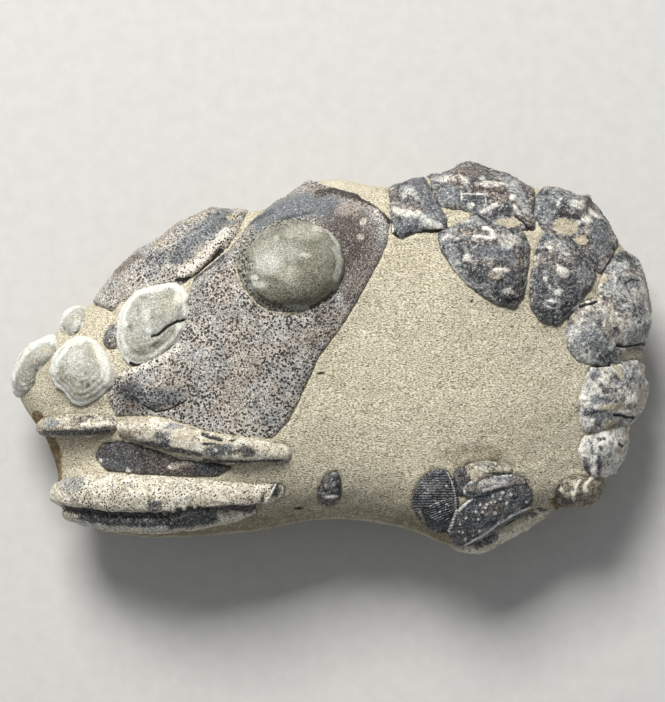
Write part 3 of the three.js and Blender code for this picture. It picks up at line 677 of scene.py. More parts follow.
MARKS["upper_claw_arm"] = [
    mark("warm", (0.12, 0.92), (2.0, 0.8), 0.8),
    mark("white", (0.22, 0.95), (0.9, 0.4), 0.7),
    mark("white", (0.27, 0.85), (0.8, 0.5), 0.7),
    mark("stain", (0.06, 0.6), (1.6, 1.0), 0.7),
    mark("dark", (0.25, 0.58), (1.2, 0.9), 0.8),
    mark("dark", (0.28, 0.42), (0.7, 0.8), 0.7),
    mark("slate", (0.33, 0.8), (1.8, 0.7), 0.7),
    mark("stain", (0.45, 0.75), (1.2, 0.5), 0.7),
    mark("warm", (0.38, 0.6), (2.6, 1.0), 0.6),
    mark("stain", (0.44, 0.55), 0.5, 0.8),
    mark("black", [(0.5, 0.62), (0.54, 0.55), (0.6, 0.5)], 0.35, lift=-0.4),
    mark("warm", [(0.5, 0.48), (0.58, 0.44), (0.65, 0.43)], 0.3),
    mark("black", [(0.5, 0.4), (0.6, 0.4), (0.67, 0.47), (0.7, 0.52)], 0.25, lift=-0.2),
    *dots("white", [(0.55, 0.7), (0.62, 0.65)], 0.5, lift=0.2),
    mark("dark", (0.6, 0.25), (3.2, 1.2), 0.8),
    mark("white", (0.57, 0.25), 0.3),
    *dots("white", [(0.63, 0.18), (0.67, 0.27)], 0.25),
    mark("black", (0.75, 0.22), (1.8, 1.1), 0.7),
    mark("pale", (0.72, 0.47), (1.2, 0.9), lift=0.4),
    mark("tan", (0.9, 0.3), (3.0, 1.3), 0.8),
    mark("white", (0.85, 0.5), (1.4, 0.7), 0.7),
    # Painted shadow under the arm's lower left edge.
    mark("dark", [(0.05, 0.45), (0.2, 0.38), (0.3, 0.3), (0.4, 0.22), (0.48, 0.15)], 0.5, 0.8),
    mark("dark", [(0.5, 0.02), (0.75, 0.0), (0.95, 0.02)], 0.3),
]

MARKS["middle_leg"] = [
    mark("white", (0.04, 0.47), 0.4),
    mark("pale", (0.25, 0.12), 0.6),
    mark("pale", (0.6, 0.3), (1.4, 0.6), 0.7),
    mark("pale", (0.68, 0.35), (1.2, 0.5), 0.7),
    mark("white", (0.55, 0.25), 0.4),
    mark("dark", (0.9, 0.3), (2.0, 0.8), 0.6),
    mark("dark", [(0.1, 0.97), (0.3, 0.95), (0.45, 0.85), (0.6, 0.75), (0.75, 0.65)], 0.5),
]

MARKS["lower_claw"] = [
    mark("grey", (0.1, 0.85), (3.0, 1.5), 0.8),
    *dots("warm", [(0.67, 0.55), (0.82, 0.62)], (1.6, 0.7), 0.6),
    mark("dark", (0.46, 0.5), (1.4, 1.2), 0.8, lift=0.5),
    mark("black", [(0.06, 0.42), (0.15, 0.36), (0.25, 0.3), (0.4, 0.28), (0.5, 0.3)], 0.6, 0.8, lift=-0.5),
    mark("black", [(0.5, 0.3), (0.6, 0.38), (0.75, 0.4), (0.88, 0.42), (0.93, 0.45)], 0.6, 0.8, lift=-0.5),
    # Painted shade on the claw's lower side, which faces down away from the light.
    mark("dark", [(0.15, 0.22), (0.3, 0.18), (0.45, 0.15), (0.6, 0.2), (0.7, 0.28)], 1.2, 0.95),
    mark("white", (0.585, 0.4), 0.45, lift=0.4),
    mark("white", (0.63, 0.42), 0.35, lift=0.4),
    mark("white", (0.54, 0.35), (0.6, 0.25), lift=0.2),
    mark("black", (0.97, 0.75), (0.8, 1.2)),
    mark("dark", [(0.92, 0.68), (0.91, 0.55)], 0.3),
    mark("white", [(0.97, 0.85), (0.94, 0.6), (0.91, 0.42), (0.88, 0.36)], 0.2, lift=0.2),
    mark("pale", [(0.12, 0.18), (0.25, 0.08), (0.4, 0.05), (0.5, 0.08)], 0.5),
]

MARKS["leg_stub"] = [
    mark("white", [(0.33, 0.21), (0.57, 0.22), (0.85, 0.24)], 0.22, lift=0.2),
    mark("grey", (0.7, 0.6), 0.5, 0.8),
    *dots("grey", [(0.33, 0.56), (0.17, 0.3)], 0.4, 0.8),
]

MARKS["abdomen_segment_1"] = [
    mark("dark", [(0.2, 0.87), (0.35, 0.87), (0.5, 0.9), (0.57, 0.87)], 0.9, 0.8),
    mark("slate", (0.25, 0.82), (0.9, 0.4)),
    mark("pale", (0.35, 0.72), (1.8, 1.5), 0.7, lift=0.2),
    mark("dark", (0.35, 0.62), (1.0, 0.7), 0.8),
    mark("slate", [(0.5, 0.93), (0.6, 0.72), (0.68, 0.5), (0.85, 0.32)], 1.5, 0.9),
    mark("grey", (0.8, 0.38), (1.0, 0.7), 0.8),
    mark("stain", [(0.28, 0.5), (0.42, 0.48), (0.58, 0.45)], 0.5, 0.9),
    mark("slate", (0.35, 0.23), (3.4, 1.4), 0.7),
    mark("grey", (0.6, 0.2), (1.8, 0.7), 0.7),
    mark("pale", [(0.1, 0.45), (0.28, 0.4), (0.5, 0.38), (0.65, 0.27), (0.85, 0.2)], 0.8, lift=0.3),
    *dots("white", [(0.85, 0.18), (0.9, 0.22)], 0.4),
    # Partly painted shadow under the lower ledge, partly a real groove, as it is also cut in.
    mark("crack", [(0.6, 0.13), (0.75, 0.12), (0.9, 0.13)], 0.5, lift=-0.4),
    mark("white", [(0.04, 0.22), (0.045, 0.12)], 0.15),
    mark("black", (0.09, 0.06), (0.5, 0.9)),
]

MARKS["abdomen_segment_2"] = [
    mark("slate", (0.12, 0.93), (1.2, 0.7)),
    mark("slate", (0.2, 0.75), (2.0, 1.9), 0.9),
    mark("pale", (0.18, 0.87), (2.0, 0.8), lift=0.2),
    mark("tan", (0.17, 0.88), 0.35),
    mark("stain", (0.45, 0.93), (3.2, 0.8), 0.8),
    mark("pale", (0.53, 0.875), (0.8, 0.5)),
    mark("pale", [(0.31, 0.87), (0.37, 0.84)], 0.5, lift=0.2),
    mark("pale", [(0.53, 0.83), (0.62, 0.82), (0.72, 0.83)], 0.5, lift=0.2),
    mark("crest", [(0.43, 0.79), (0.55, 0.78), (0.68, 0.78)], 0.45),
    mark("dark", (0.47, 0.73), (1.8, 0.8)),
    mark("stain", (0.66, 0.72), (1.4, 1.0), 0.7),
    mark("white", [(0.32, 0.71), (0.32, 0.76)], 0.15),
    mark("white", [(0.34, 0.755), (0.42, 0.755), (0.54, 0.75), (0.55, 0.7)], 0.15),
    mark("pale", (0.41, 0.675), (0.8, 0.7), lift=0.2),
    mark("pale", [(0.5, 0.64), (0.57, 0.65), (0.64, 0.68)], 0.45),
    mark("grey", [(0.77, 0.86), (0.86, 0.78), (0.93, 0.65)], 1.0, 0.9),
    mark("white", (0.79, 0.73), 0.6),
    mark("pale", (0.73, 0.82), 0.5),
    mark("dark", (0.73, 0.64), (2.2, 0.7), 0.9),
    mark("white", [(0.82, 0.66), (0.86, 0.63)], 0.5, 0.9),
    mark("warm", (0.75, 0.56), (2.8, 1.0)),
    mark("warm", (0.28, 0.6), (2.6, 1.0)),
    mark("crack", [(0.83, 0.6), (0.9, 0.56), (0.95, 0.51)], 0.25, lift=-0.2),
    mark("grey", (0.45, 0.57), (2.0, 1.0), 0.7),
    mark("crack", [(0.48, 0.61), (0.55, 0.57)], 0.25, lift=-0.2),
    mark("stain", (0.35, 0.5), (1.0, 0.7)),
    mark("stain", (0.4, 0.47), 0.5),
    mark("white", [(0.53, 0.51), (0.58, 0.49), (0.61, 0.45)], 0.5, lift=0.4),
    mark("white", [(0.42, 0.45), (0.5, 0.46), (0.58, 0.44)], 0.3, lift=0.2),
    mark("tan", (0.45, 0.43), 0.4),
    mark("pale", (0.17, 0.45), (1.3, 0.8), 0.7),
    mark("slate", (0.6, 0.36), (4.0, 1.5), 0.8),
    mark("slate", (0.75, 0.3), (1.6, 1.2), 0.7),
    mark("pale", (0.76, 0.43), (2.0, 1.6), 0.8, lift=0.2),
    mark("grey", [(0.2, 0.4), (0.25, 0.3), (0.33, 0.22), (0.42, 0.15)], 0.8, 0.8),
    mark("pale", (0.37, 0.32), (0.9, 0.8), lift=0.3),
    mark("slate", (0.42, 0.31), 0.4, lift=-0.3),
    mark("dark", (0.45, 0.22), (2.2, 1.6), 0.8),
    mark("white", [(0.62, 0.24), (0.7, 0.24)], 0.4, lift=0.2),
    mark("tan", (0.62, 0.2), (1.4, 1.0), lift=0.3),
    mark("dark", (0.78, 0.18), (1.8, 1.4), 0.9, lift=0.5),
    # Painted highlight on the glossy boss.
    mark("white", (0.73, 0.1), (1.2, 0.5), 0.9),
    mark("black", (0.75, 0.05), (2.2, 0.7), 0.8),
    mark("pale", [(0.93, 0.2), (0.95, 0.1), (0.9, 0.04)], 0.3),
    mark("white", [(0.2, 0.3), (0.3, 0.2), (0.4, 0.14)], 0.15),
]

MARKS["abdomen_segment_3"] = [
    mark("slate", (0.2, 0.8), (1.7, 3.3), 0.9),
    mark("pale", [(0.13, 0.87), (0.13, 0.83)], 0.25, 0.8),
    mark("dark", (0.42, 0.86), (1.4, 1.0), 0.7),
    mark("pale", [(0.38, 0.91), (0.33, 0.86)], 0.25),
    mark("black", [(0.33, 0.78), (0.43, 0.775), (0.53, 0.78), (0.56, 0.76)], 0.5, 0.8),
    mark("white", (0.55, 0.87), (1.6, 1.1), 0.9, lift=0.2),
    mark("stain", (0.57, 0.9), 0.4),
    mark("warm", (0.42, 0.7), (2.4, 1.8)),
    mark("warm", (0.58, 0.6), (1.3, 1.0)),
    mark("white", (0.56, 0.74), 0.45),
    mark("white", (0.67, 0.75), (1.2, 1.0), 0.9, lift=0.2),
    mark("tan", (0.68, 0.68), (0.9, 1.2), 0.9),
    mark("dark", (0.6, 0.71), 0.6, 0.9),
    mark("slate", (0.8, 0.62), (1.8, 3.2), 0.9, turn=25),
    mark("grey", (0.8, 0.52), (1.2, 1.0), 0.6),
    mark("white", (0.75, 0.82), (1.3, 0.6), turn=-45),
    mark("pale", (0.3, 0.55), (3.5, 1.5), 0.4),
    mark("dark", [(0.44, 0.62), (0.52, 0.58), (0.58, 0.47), (0.68, 0.4), (0.75, 0.36)], 0.4, 0.8),
    mark("warm", (0.8, 0.34), (1.6, 1.0), 0.8),
    mark("dark", [(0.02, 0.5), (0.12, 0.52), (0.2, 0.52)], 0.4),
    mark("white", (0.08, 0.47), 0.5),
    mark("white", (0.23, 0.54), 0.4),
    mark("dark", (0.17, 0.37), (1.6, 1.5), 0.7),
    mark("dark", (0.15, 0.25), (1.6, 2.6), 0.7),
    mark("white", (0.18, 0.31), 0.5, lift=0.2),
    mark("dark", (0.45, 0.25), (1.7, 2.6), 0.7),
    mark("pale", (0.36, 0.36), (1.6, 0.9), turn=-30, lift=0.4),
    mark("pale", (0.3, 0.22), (0.9, 0.6)),
    mark("pale", (0.22, 0.26), 0.4),
    mark("white", (0.23, 0.13), (1.9, 1.1), 0.8, lift=0.4),
    mark("dark", [(0.2, 0.14), (0.25, 0.12), (0.3, 0.13)], 0.3, lift=-0.2),
    mark("dark", [(0.1, 0.12), (0.15, 0.05), (0.27, 0.02), (0.4, 0.06), (0.48, 0.12)], 1.0, 0.8),
    mark("white", [(0.48, 0.1), (0.56, 0.14), (0.65, 0.165)], 0.3, 0.8),
    mark("crack", [(0.55, 0.12), (0.65, 0.14), (0.75, 0.155)], 0.25, lift=-0.2),
    mark("grey", (0.62, 0.33), (1.6, 1.6), 0.7),
]

MARKS["abdomen_segment_4"] = [
    mark("dark", [(0.6, 0.94), (0.7, 0.94), (0.77, 0.91)], 0.7, 0.9),
    mark("pale", (0.6, 0.87), (1.0, 0.6), 0.6),
    mark("grey", (0.55, 0.83), (1.2, 0.8), 0.8),
    mark("stain", [(0.68, 0.82), (0.78, 0.81)], 0.3, 0.9),
    mark("warm", (0.43, 0.75), (1.1, 1.0)),
    mark("pale", (0.35, 0.77), 0.6),
    mark("grey", (0.52, 0.66), (1.8, 1.2), 0.9),
    mark("slate", (0.75, 0.72), (1.6, 1.2), 0.6),
    mark("crack", [(0.67, 0.7), (0.74, 0.74), (0.83, 0.74)], 0.2),
    mark("pale", [(0.88, 0.72), (0.92, 0.58), (0.95, 0.42)], 0.7),
    mark("dark", [(0.41, 0.62), (0.45, 0.56)], 0.3, 0.9),
    *dots("stain", [(0.35, 0.6), (0.28, 0.59)], 0.6, 0.8),
    mark("white", [(0.22, 0.55), (0.27, 0.54)], 0.25),
    mark("white", [(0.33, 0.56), (0.36, 0.57)], 0.25),
    mark("crack", [(0.17, 0.49), (0.25, 0.515), (0.3, 0.52), (0.36, 0.54)], 0.3, lift=-0.3),
    mark("white", [(0.0, 0.38), (0.08, 0.46), (0.15, 0.51), (0.2, 0.52)], 0.3, lift=0.2),
    mark("pale", (0.33, 0.48), (1.8, 0.6), 0.7),
    mark("white", (0.43, 0.455), (0.3, 0.5)),
    *dots("white", [(0.57, 0.44), (0.43, 0.34), (0.27, 0.095), (0.36, 0.07)], 0.3),
    mark("dark", (0.37, 0.36), 0.6, 0.8),
    mark("dark", (0.57, 0.29), (0.9, 0.6), 0.8),
    mark("pale", (0.08, 0.25), (1.0, 1.3), 0.8),
    mark("slate", (0.3, 0.2), (3.0, 2.2), 0.6),
    mark("grey", (0.5, 0.16), (1.2, 0.8), 0.7),
    mark("dark", (0.5, 0.06), (1.5, 1.5), 0.7),
    mark("pale", (0.25, 0.03), (1.8, 0.5)),
    mark("grey", (0.78, 0.27), (2.6, 1.8), 0.7, turn=30, lift=0.2),
    mark("crack", [(0.57, 0.17), (0.65, 0.155), (0.75, 0.165), (0.87, 0.19), (0.95, 0.2)], 0.25, lift=-0.4),
    mark("warm", (0.8, 0.09), (3.0, 1.4), 0.9),
    mark("pale", [(0.63, 0.14), (0.68, 0.08), (0.68, 0.03)], 0.4, lift=0.2),
]

MARKS["abdomen_segment_5"] = [
    mark("pale", (0.15, 0.95), (1.6, 0.6)),
    mark("crack", [(0.2, 0.9), (0.3, 0.89), (0.45, 0.91)], 0.3, lift=-0.2),
    mark("stain", (0.4, 0.97), (1.0, 0.4), 0.64),
    *dots("slate", [(0.28, 0.8), (0.22, 0.75)], 0.8, 0.75),
    mark("pale", (0.2, 0.65), 0.7),
    mark("pale", (0.23, 0.55), (1.4, 1.2), 0.8),
    mark("white", [(0.33, 0.72), (0.37, 0.67)], 0.3),
    mark("white", [(0.28, 0.57), (0.33, 0.53), (0.35, 0.49)], 0.35),
    mark("dark", (0.53, 0.72), (1.1, 0.9), 0.64),
    mark("dark", (0.33, 0.62), 0.5, 0.64),
    mark("dark", [(0.36, 0.55), (0.45, 0.56), (0.53, 0.57)], 0.5, 0.64),
    mark("warm", [(0.52, 0.93), (0.57, 0.84), (0.6, 0.76)], 0.6),
    mark("pale", (0.42, 0.86), 0.8, 0.8),
    mark("white", (0.65, 0.58), 0.5, 0.7),
    mark("grey", (0.75, 0.75), (1.9, 2.4), 0.8),
    mark("dark", (0.76, 0.72), 0.5, 0.48),
    mark("tan", (0.91, 0.87), 0.6),
    *dots("warm", [(0.9, 0.53), (0.87, 0.4)], (0.8, 1.0)),
    *dots("stain", [(0.84, 0.4), (0.8, 0.37)], 0.3, 0.75),
    mark("stain", [(0.48, 0.38), (0.55, 0.42), (0.63, 0.43)], 0.4, 0.75),
    mark("stain", (0.7, 0.35), 0.6, 0.75),
    mark("warm", [(0.35, 0.32), (0.45, 0.34), (0.55, 0.33), (0.63, 0.32)], 0.6),
    mark("white", (0.1, 0.47), (0.7, 0.6)),
    mark("pale", (0.15, 0.36), (1.3, 1.0)),
    mark("slate", (0.33, 0.42), (2.0, 0.9), 0.64),
    mark("dark", (0.2, 0.25), (1.6, 0.7), 0.64),
    mark("slate", (0.35, 0.22), (1.8, 1.0), 0.75),
    mark("dark", (0.3, 0.12), (1.0, 0.8), 0.64),
    mark("white", (0.38, 0.13), 0.35),
    mark("pale", (0.17, 0.11), (1.4, 0.9), lift=0.2),
    mark("pale", (0.7, 0.24), (1.8, 0.6), lift=0.2),
    mark("crack", [(0.52, 0.22), (0.6, 0.22), (0.68, 0.19), (0.8, 0.19)], 0.3, lift=-0.3),
    mark("warm", (0.5, 0.07), (1.6, 1.2)),
]

MARKS["abdomen_segment_6"] = [
    mark("dark", (0.4, 0.93), 0.6, 0.8),
    mark("warm", (0.63, 0.9), (1.5, 1.2), 0.8),
    mark("pale", (0.82, 0.88), 0.6),
    mark("dark", (0.92, 0.82), 0.25),
    mark("warm", [(0.93, 0.9), (0.94, 0.75), (0.93, 0.6)], 0.4),
    mark("pale", (0.8, 0.72), (0.9, 1.4), 0.7),
    mark("crack", [(0.78, 0.58), (0.82, 0.54), (0.86, 0.54)], 0.25),
    mark("warm", (0.78, 0.46), (0.9, 0.6)),
    mark("white", [(0.15, 0.62), (0.22, 0.66), (0.28, 0.64)], 0.25),
    mark("dark", (0.25, 0.6), (0.7, 0.4), 0.8),
    mark("dark", (0.25, 0.76), 0.35, 0.8),
    mark("pale", [(0.2, 0.68), (0.23, 0.5), (0.25, 0.3)], 0.5),
    *dots("dark", [(0.42, 0.65), (0.5, 0.67), (0.45, 0.49)], 0.4, 0.8),
    mark("dark", (0.52, 0.32), 0.35, 0.8),
    mark("dark", [(0.29, 0.55), (0.3, 0.4)], 0.2, 0.8),
    mark("grey", [(0.63, 0.6), (0.63, 0.45), (0.6, 0.35)], 0.5, 0.8),
    mark("white", [(0.37, 0.3), (0.36, 0.15), (0.35, 0.05)], 0.45, lift=0.2),
    mark("dark", [(0.17, 0.3), (0.22, 0.15), (0.25, 0.03)], 0.5, 0.8),
    mark("dark", (0.43, 0.2), (0.6, 2.0), 0.8),
]

MARKS["tail_root"] = [
    mark("dark", (0.1, 0.35), 0.6, 0.8),
    mark("dark", (0.3, 0.15), (1.2, 0.5), 0.8),
    mark("dark", (0.32, 0.47), 0.4, 0.8),
    mark("stain", (0.75, 0.5), (1.6, 1.6), 0.8),
    *dots("pale", [(0.15, 0.45), (0.25, 0.33)], 0.5),
    mark("tan", (0.33, 0.67), 0.6),
    mark("white", [(0.47, 0.75), (0.43, 0.65), (0.39, 0.53), (0.41, 0.45)], 0.3, lift=0.2),
    mark("white", [
        (0.9, 0.95), (0.78, 0.88), (0.67, 0.8), (0.6, 0.68), (0.57, 0.55), (0.58, 0.45),
    ], 0.35, lift=0.2),
    mark("white", (0.74, 0.95), 0.3),
    mark("white", (0.33, 0.41), 0.4),
    mark("white", (0.37, 0.3), (0.4, 0.9), lift=0.2),
]

MARKS["tail_fan_ribbed_lobe"] = [
    mark("black", [
        (0.35, 0.4), (0.5, 0.455), (0.6, 0.47), (0.7, 0.5), (0.8, 0.52), (0.95, 0.56),
    ], 0.3, 0.7),
    mark("pale", [(0.35, 0.4), (0.5, 0.455), (0.6, 0.47), (0.7, 0.5), (0.8, 0.52), (0.95, 0.56)], 0.15),
    mark("white", (0.78, 0.435), (0.35, 0.2)),
    mark("white", (0.6, 0.31), 0.3),
    mark("white", [(0.72, 0.17), (0.8, 0.21)], 0.13),
    mark("white", (0.75, 0.735), 0.2),
    mark("pale", [
        (0.78, 0.95), (0.83, 0.88), (0.88, 0.8), (0.92, 0.7), (0.97, 0.6), (0.98, 0.5), (0.97, 0.38),
    ], 0.15),
    mark("white", [(1.0, 0.35), (0.97, 0.27), (0.92, 0.17), (0.87, 0.08), (0.83, 0.03)], 0.25, lift=0.15),
    mark("tan", [(0.12, 0.33), (0.18, 0.25), (0.22, 0.17)], 0.25),
]

MARKS["tail_fan_wedge"] = [
    mark("pale", [(0.95, 0.42), (0.7, 0.28), (0.62, 0.2)], 0.15),
    mark("pale", [(0.47, 0.27), (0.6, 0.2)], 0.15),
    mark("pale", (0.72, 0.07), 0.3),
    mark("pale", (0.9, 0.85), (0.4, 0.7)),
    mark("dark", (0.19, 0.77), 0.15),
    mark("dark", (0.2, 0.15), 0.25),
    mark("dark", (0.34, 0.33), 0.2),
]

MARKS["tail_fan_pale_plate"] = [
    mark("warm", (0.2, 0.4), (0.8, 0.7)),
    mark("tan", (0.23, 0.66), 0.35),
    mark("tan", (0.85, 0.65), (1.4, 0.5), 0.6),
    mark("white", [(0.42, 0.65), (0.5, 0.45)], 0.15),
    mark("white", (0.2, 0.1), 0.3),
    mark("black", (0.75, 0.43), (3.0, 0.2), 0.8),
    mark("dark", (0.61, 0.57), 0.15),
    mark("dark", (0.37, 0.52), 0.12),
    mark("dark", (0.47, 0.75), 0.15),
]

MARKS["tail_fan_middle_lobe"] = [
    mark("stain", (0.2, 0.35), (1.4, 0.7), 0.8),
    mark("pale", (0.26, 0.44), 0.15),
    mark("pale", (0.55, 0.55), (3.2, 0.8), 0.6),
    mark("white", [(0.33, 0.27), (0.45, 0.33), (0.6, 0.45)], 0.25),
    mark("pale", [
        (0.05, 0.15), (0.02, 0.25), (0.02, 0.38), (0.06, 0.48), (0.12, 0.57), (0.18, 0.64),
    ], 0.2, lift=0.15),
    mark("pale", [
        (0.18, 0.64), (0.3, 0.7), (0.4, 0.8), (0.5, 0.82), (0.6, 0.83), (0.7, 0.84),
    ], 0.2, lift=0.15),
    mark("pale", (0.03, 0.2), 0.4),
    *dots("white", [(0.72, 0.88), (0.76, 0.85)], 0.25),
]

MARKS["telson"] = [
    mark("stain", (0.55, 0.55), (2.4, 1.4), 0.6),
    *dots("white", [
        (0.2, 0.39), (0.35, 0.37), (0.13, 0.3), (0.12, 0.19), (0.17, 0.175), (0.32, 0.48), (0.4, 0.48),
        (0.37, 0.58), (0.45, 0.59), (0.5, 0.615), (0.55, 0.63), (0.52, 0.71), (0.29, 0.13), (0.44, 0.54),
    ], 0.24, lift=0.12),
    *dots("pale", [
        (0.56, 0.47), (0.62, 0.68), (0.65, 0.77), (0.7, 0.61), (0.75, 0.73), (0.37, 0.19), (0.2, 0.08),
        (0.95, 0.63),
    ], 0.34, lift=0.12),
    mark("pale", [
        (0.0, 0.3), (0.03, 0.37), (0.07, 0.45), (0.13, 0.53), (0.2, 0.6), (0.28, 0.7),
    ], 0.28, lift=0.15),
    mark("pale", [
        (0.28, 0.7), (0.4, 0.77), (0.5, 0.83), (0.62, 0.87), (0.72, 0.9), (0.9, 0.92),
    ], 0.28, lift=0.15),
    mark("pale", (0.08, 0.48), 0.6),
    mark("pale", [
        (0.2, 0.0), (0.27, 0.04), (0.35, 0.1), (0.45, 0.17), (0.52, 0.23), (0.6, 0.31),
    ], 0.22, lift=0.15),
    mark("pale", [(0.6, 0.31), (0.7, 0.37), (0.8, 0.45), (0.9, 0.5), (1.0, 0.54)], 0.22, lift=0.15),
    mark("black", (0.15, 0.72), (0.8, 0.8)),
]

MARKS["tail_fan_outer_lobe"] = [
    mark("dark", [(0.25, 0.15), (0.4, 0.3)], 0.9, 0.8),
    mark("pale", (0.34, 0.42), (0.8, 0.4), 0.8),
    *dots("pale", [(0.23, 0.23), (0.26, 0.26)], 0.25),
    mark("warm", [(0.45, 0.45), (0.55, 0.52), (0.65, 0.62)], 0.7),
    mark("tan", (0.5, 0.45), 0.6),
    mark("stain", (0.7, 0.65), (1.0, 0.7), 0.7),
    mark("dark", (0.78, 0.75), (1.4, 0.6), 0.7),
    mark("dark", (0.9, 0.85), (1.2, 0.6), 0.7),
    mark("crack", [(0.47, 0.52), (0.55, 0.58), (0.63, 0.7), (0.72, 0.78)], 0.2, lift=-0.2),
]


# ---------------------------------------------------------------- the pieces

SIX_STOPS = (0.0, 0.2, 0.4, 0.58, 0.78, 1.0)
FIVE_STOPS = (0.0, 0.25, 0.5, 0.75, 1.0)

# Colours over the tone of a piece, from black to white.
COOL = list(zip(SIX_STOPS, ("08090b", "1e2126", "4d5258", "85898b", "bdbcb4", "efede6")))
WARM = list(zip(SIX_STOPS, ("0e0b0a", "2b2422", "5f534d", "8e8279", "c4bbab", "f2ede1")))
CREAMY = list(zip(SIX_STOPS, ("12100e", "37322b", "746b5b", "a69d89", "d2cab5", "f5f0e2")))
GREENISH = list(zip(FIVE_STOPS, ("1d1c16", "55543f", "8b8b7e", "bbbcb4", "eeeee6")))
OLIVE = list(zip(FIVE_STOPS, ("1b1811", "4f4a35", "827e6d", "b4b0a0", "eae5d4")))

STONE = stone_material()

# Of each slot: its material, the rounds of smoothing that wear its pieces, how their ground starts (tone and
# its unevenness, warmth, and the grain and relief of the crust), and the pieces.
GROUPS = {
    "shield_shell": {
        "material": shell_material("shield_shell", COOL, WARM, 0.65, coarse=0.6, fine=2.2, flecks=0.5),
        "wear": 18,
        "ground": {"tone": 0.65, "uneven": 0.16, "warmth": 0.6, "grain": 1.6, "relief": 0.12},
        "nodes": ["carapace", "carapace_front_lobe", "dark_grain", "middle_leg"],
    },
    "segment_shell": {
        "material": shell_material("segment_shell", COOL, WARM, 0.55, coarse=2.1, fine=1.5, flecks=0.7),
        "wear": 14,
        "ground": {"tone": 0.43, "uneven": 0.4, "warmth": 0.4, "grain": 1.3, "relief": 0.25},
        "nodes": [f"abdomen_segment_{number}" for number in range(1, 7)] + ["leg_stub"],
    },
    "seashell": {
        "material": shell_material("seashell", GREENISH, OLIVE, 0.5, coarse=0.45, fine=1.8, flecks=0.2),
        "wear": 60,
        "ground": {"tone": 0.6, "uneven": 0.12, "warmth": 0.2, "grain": 3.0, "relief": 0.08},
        "nodes": [f"shell_{name}" for name in ("large", "middle", "lower", "left", "small")],
    },
    "claw_shell": {
        "material": shell_material("claw_shell", COOL, CREAMY, 0.7, coarse=1.6, fine=2.0, flecks=0.5),
        "wear": 30,
        "ground": {"tone": 0.68, "uneven": 0.25, "warmth": 1.0, "grain": 1.4, "relief": 0.18},
        "nodes": [
            "upper_claw",
            "upper_claw_arm",
            "lower_claw",
            "tail_root",
            "tail_fan_pale_plate",
            "tail_fan_outer_lobe",
        ],
    },
    "fan_shell": {
        "material": shell_material("fan_shell", COOL, WARM, 0.5, coarse=1.2, fine=2.0, flecks=0.3),
        "wear": 10,
        "ground": {"tone": 0.3, "uneven": 0.25, "warmth": 0.15, "grain": 1.3, "relief": 0.15},
        "nodes": ["tail_fan_ribbed_lobe", "tail_fan_wedge", "tail_fan_middle_lobe", "telson"],
    },
}

# Pieces whose tone differs from that of their group. For segments 5 and 6 the paler tone is painted light.
TONES = {
    "carapace_front_lobe": 0.68,
    "middle_leg": 0.3,
    "dark_grain": 0.46,
    "leg_stub": 0.34,
    "abdomen_segment_4": 0.62,
    # Painted light: segments 5 and 6 are paler to offset the shade on their faces, which turn away from the
    # lamp.
    "abdomen_segment_5": 0.74,
    "abdomen_segment_6": 0.92,
    "shell_large": 0.39,
    "shell_middle": 0.63,
    "shell_lower": 0.68,
    "shell_small": 0.7,
    "upper_claw": 0.58,
    "upper_claw_arm": 0.78,
    "lower_claw": 0.79,
    "tail_root": 0.44,
    "tail_fan_pale_plate": 0.54,
    "tail_fan_outer_lobe": 0.76,
    "tail_fan_middle_lobe": 0.42,
    "telson": 0.38,
}

# How many pits a piece has, from 0 to 1.
PITS = {
    "carapace": 0.85,
    "carapace_front_lobe": 0.75,
    "lower_claw": 0.6,
    "upper_claw_arm": 0.35,
    "upper_claw": 0.5,
    "middle_leg": 0.5,
}

SIDE_ROUGHNESS = 0.3  # height of the lumps on a piece's steep sides
INLAY_DEPTH = 0.8  # how far the stone is lowered under a piece, so that it doesn't show through its skin
INLAY_SEARCH = 3  # how far from the stone a piece is looked for
GRANULE_SPACING = 1.5
GRANULE_HEIGHT = 0.22
GROWTH_WAVE = 40  # radians that the growth lines run through, from the middle of a seashell to its edge
RIB_PITCH = 0.48
RIB_HEIGHT = 0.13
RIB_SLOPE = 0.4  # of the tail lobe's crease, and of the ribs on its near side


def lay_ground(skin, tone, uneven, warmth, grain, relief):
    """The piece's own tones before anything is marked, and the relief that goes with them."""
    tones = crust(skin.points, grain, skin.seed)
    skin.paint("tone", 1.0, goal=TONES.get(skin.node, tone) + uneven * tones)
    skin.paint("warmth", 1.0, goal=np.clip(warmth + 0.8 * fractal(skin.points, 3.5, skin.seed + 2), 0, 1))
    skin.raise_by(relief, tones)
    side = 1 - np.abs(skin.normals[:, 2])
    skin.raise_by(SIDE_ROUGHNESS, side * fractal(skin.points, 1.5, skin.seed + 4))
    if skin.node in PITS:
        skin.paint("pits", 0.75 + 0.4 * fractal(skin.points, 3.0, skin.seed + 3), PITS[skin.node])


def shape_carapace(skin):
    """Granules on the shield's stained far corner, with few pits there or along the far edge. The near edge
    is lighter."""
    # Painted light: the near edge is lightened against the shade where it slopes away from the lamp.
    skin.paint("tone", skin.fade(1, 0.18, 0.02), 0.6, 0.85)
    corner = skin.spot((0.85, 0.72), (7.0, 8.8))
    granules = ease(scatter(skin.points, GRANULE_SPACING, skin.seed), 0.33, 0.12) * corner
    skin.raise_by(GRANULE_HEIGHT, granules)
    skin.paint("tone", granules, 0.5, 0.7)
    skin.paint("pits", corner, 0.7, 0.0)
    skin.paint("pits", skin.streak([(0.55, 0.83), (0.6, 0.88), (0.7, 0.9), (0.8, 0.87)], 2.5), 0.8, 0.0)


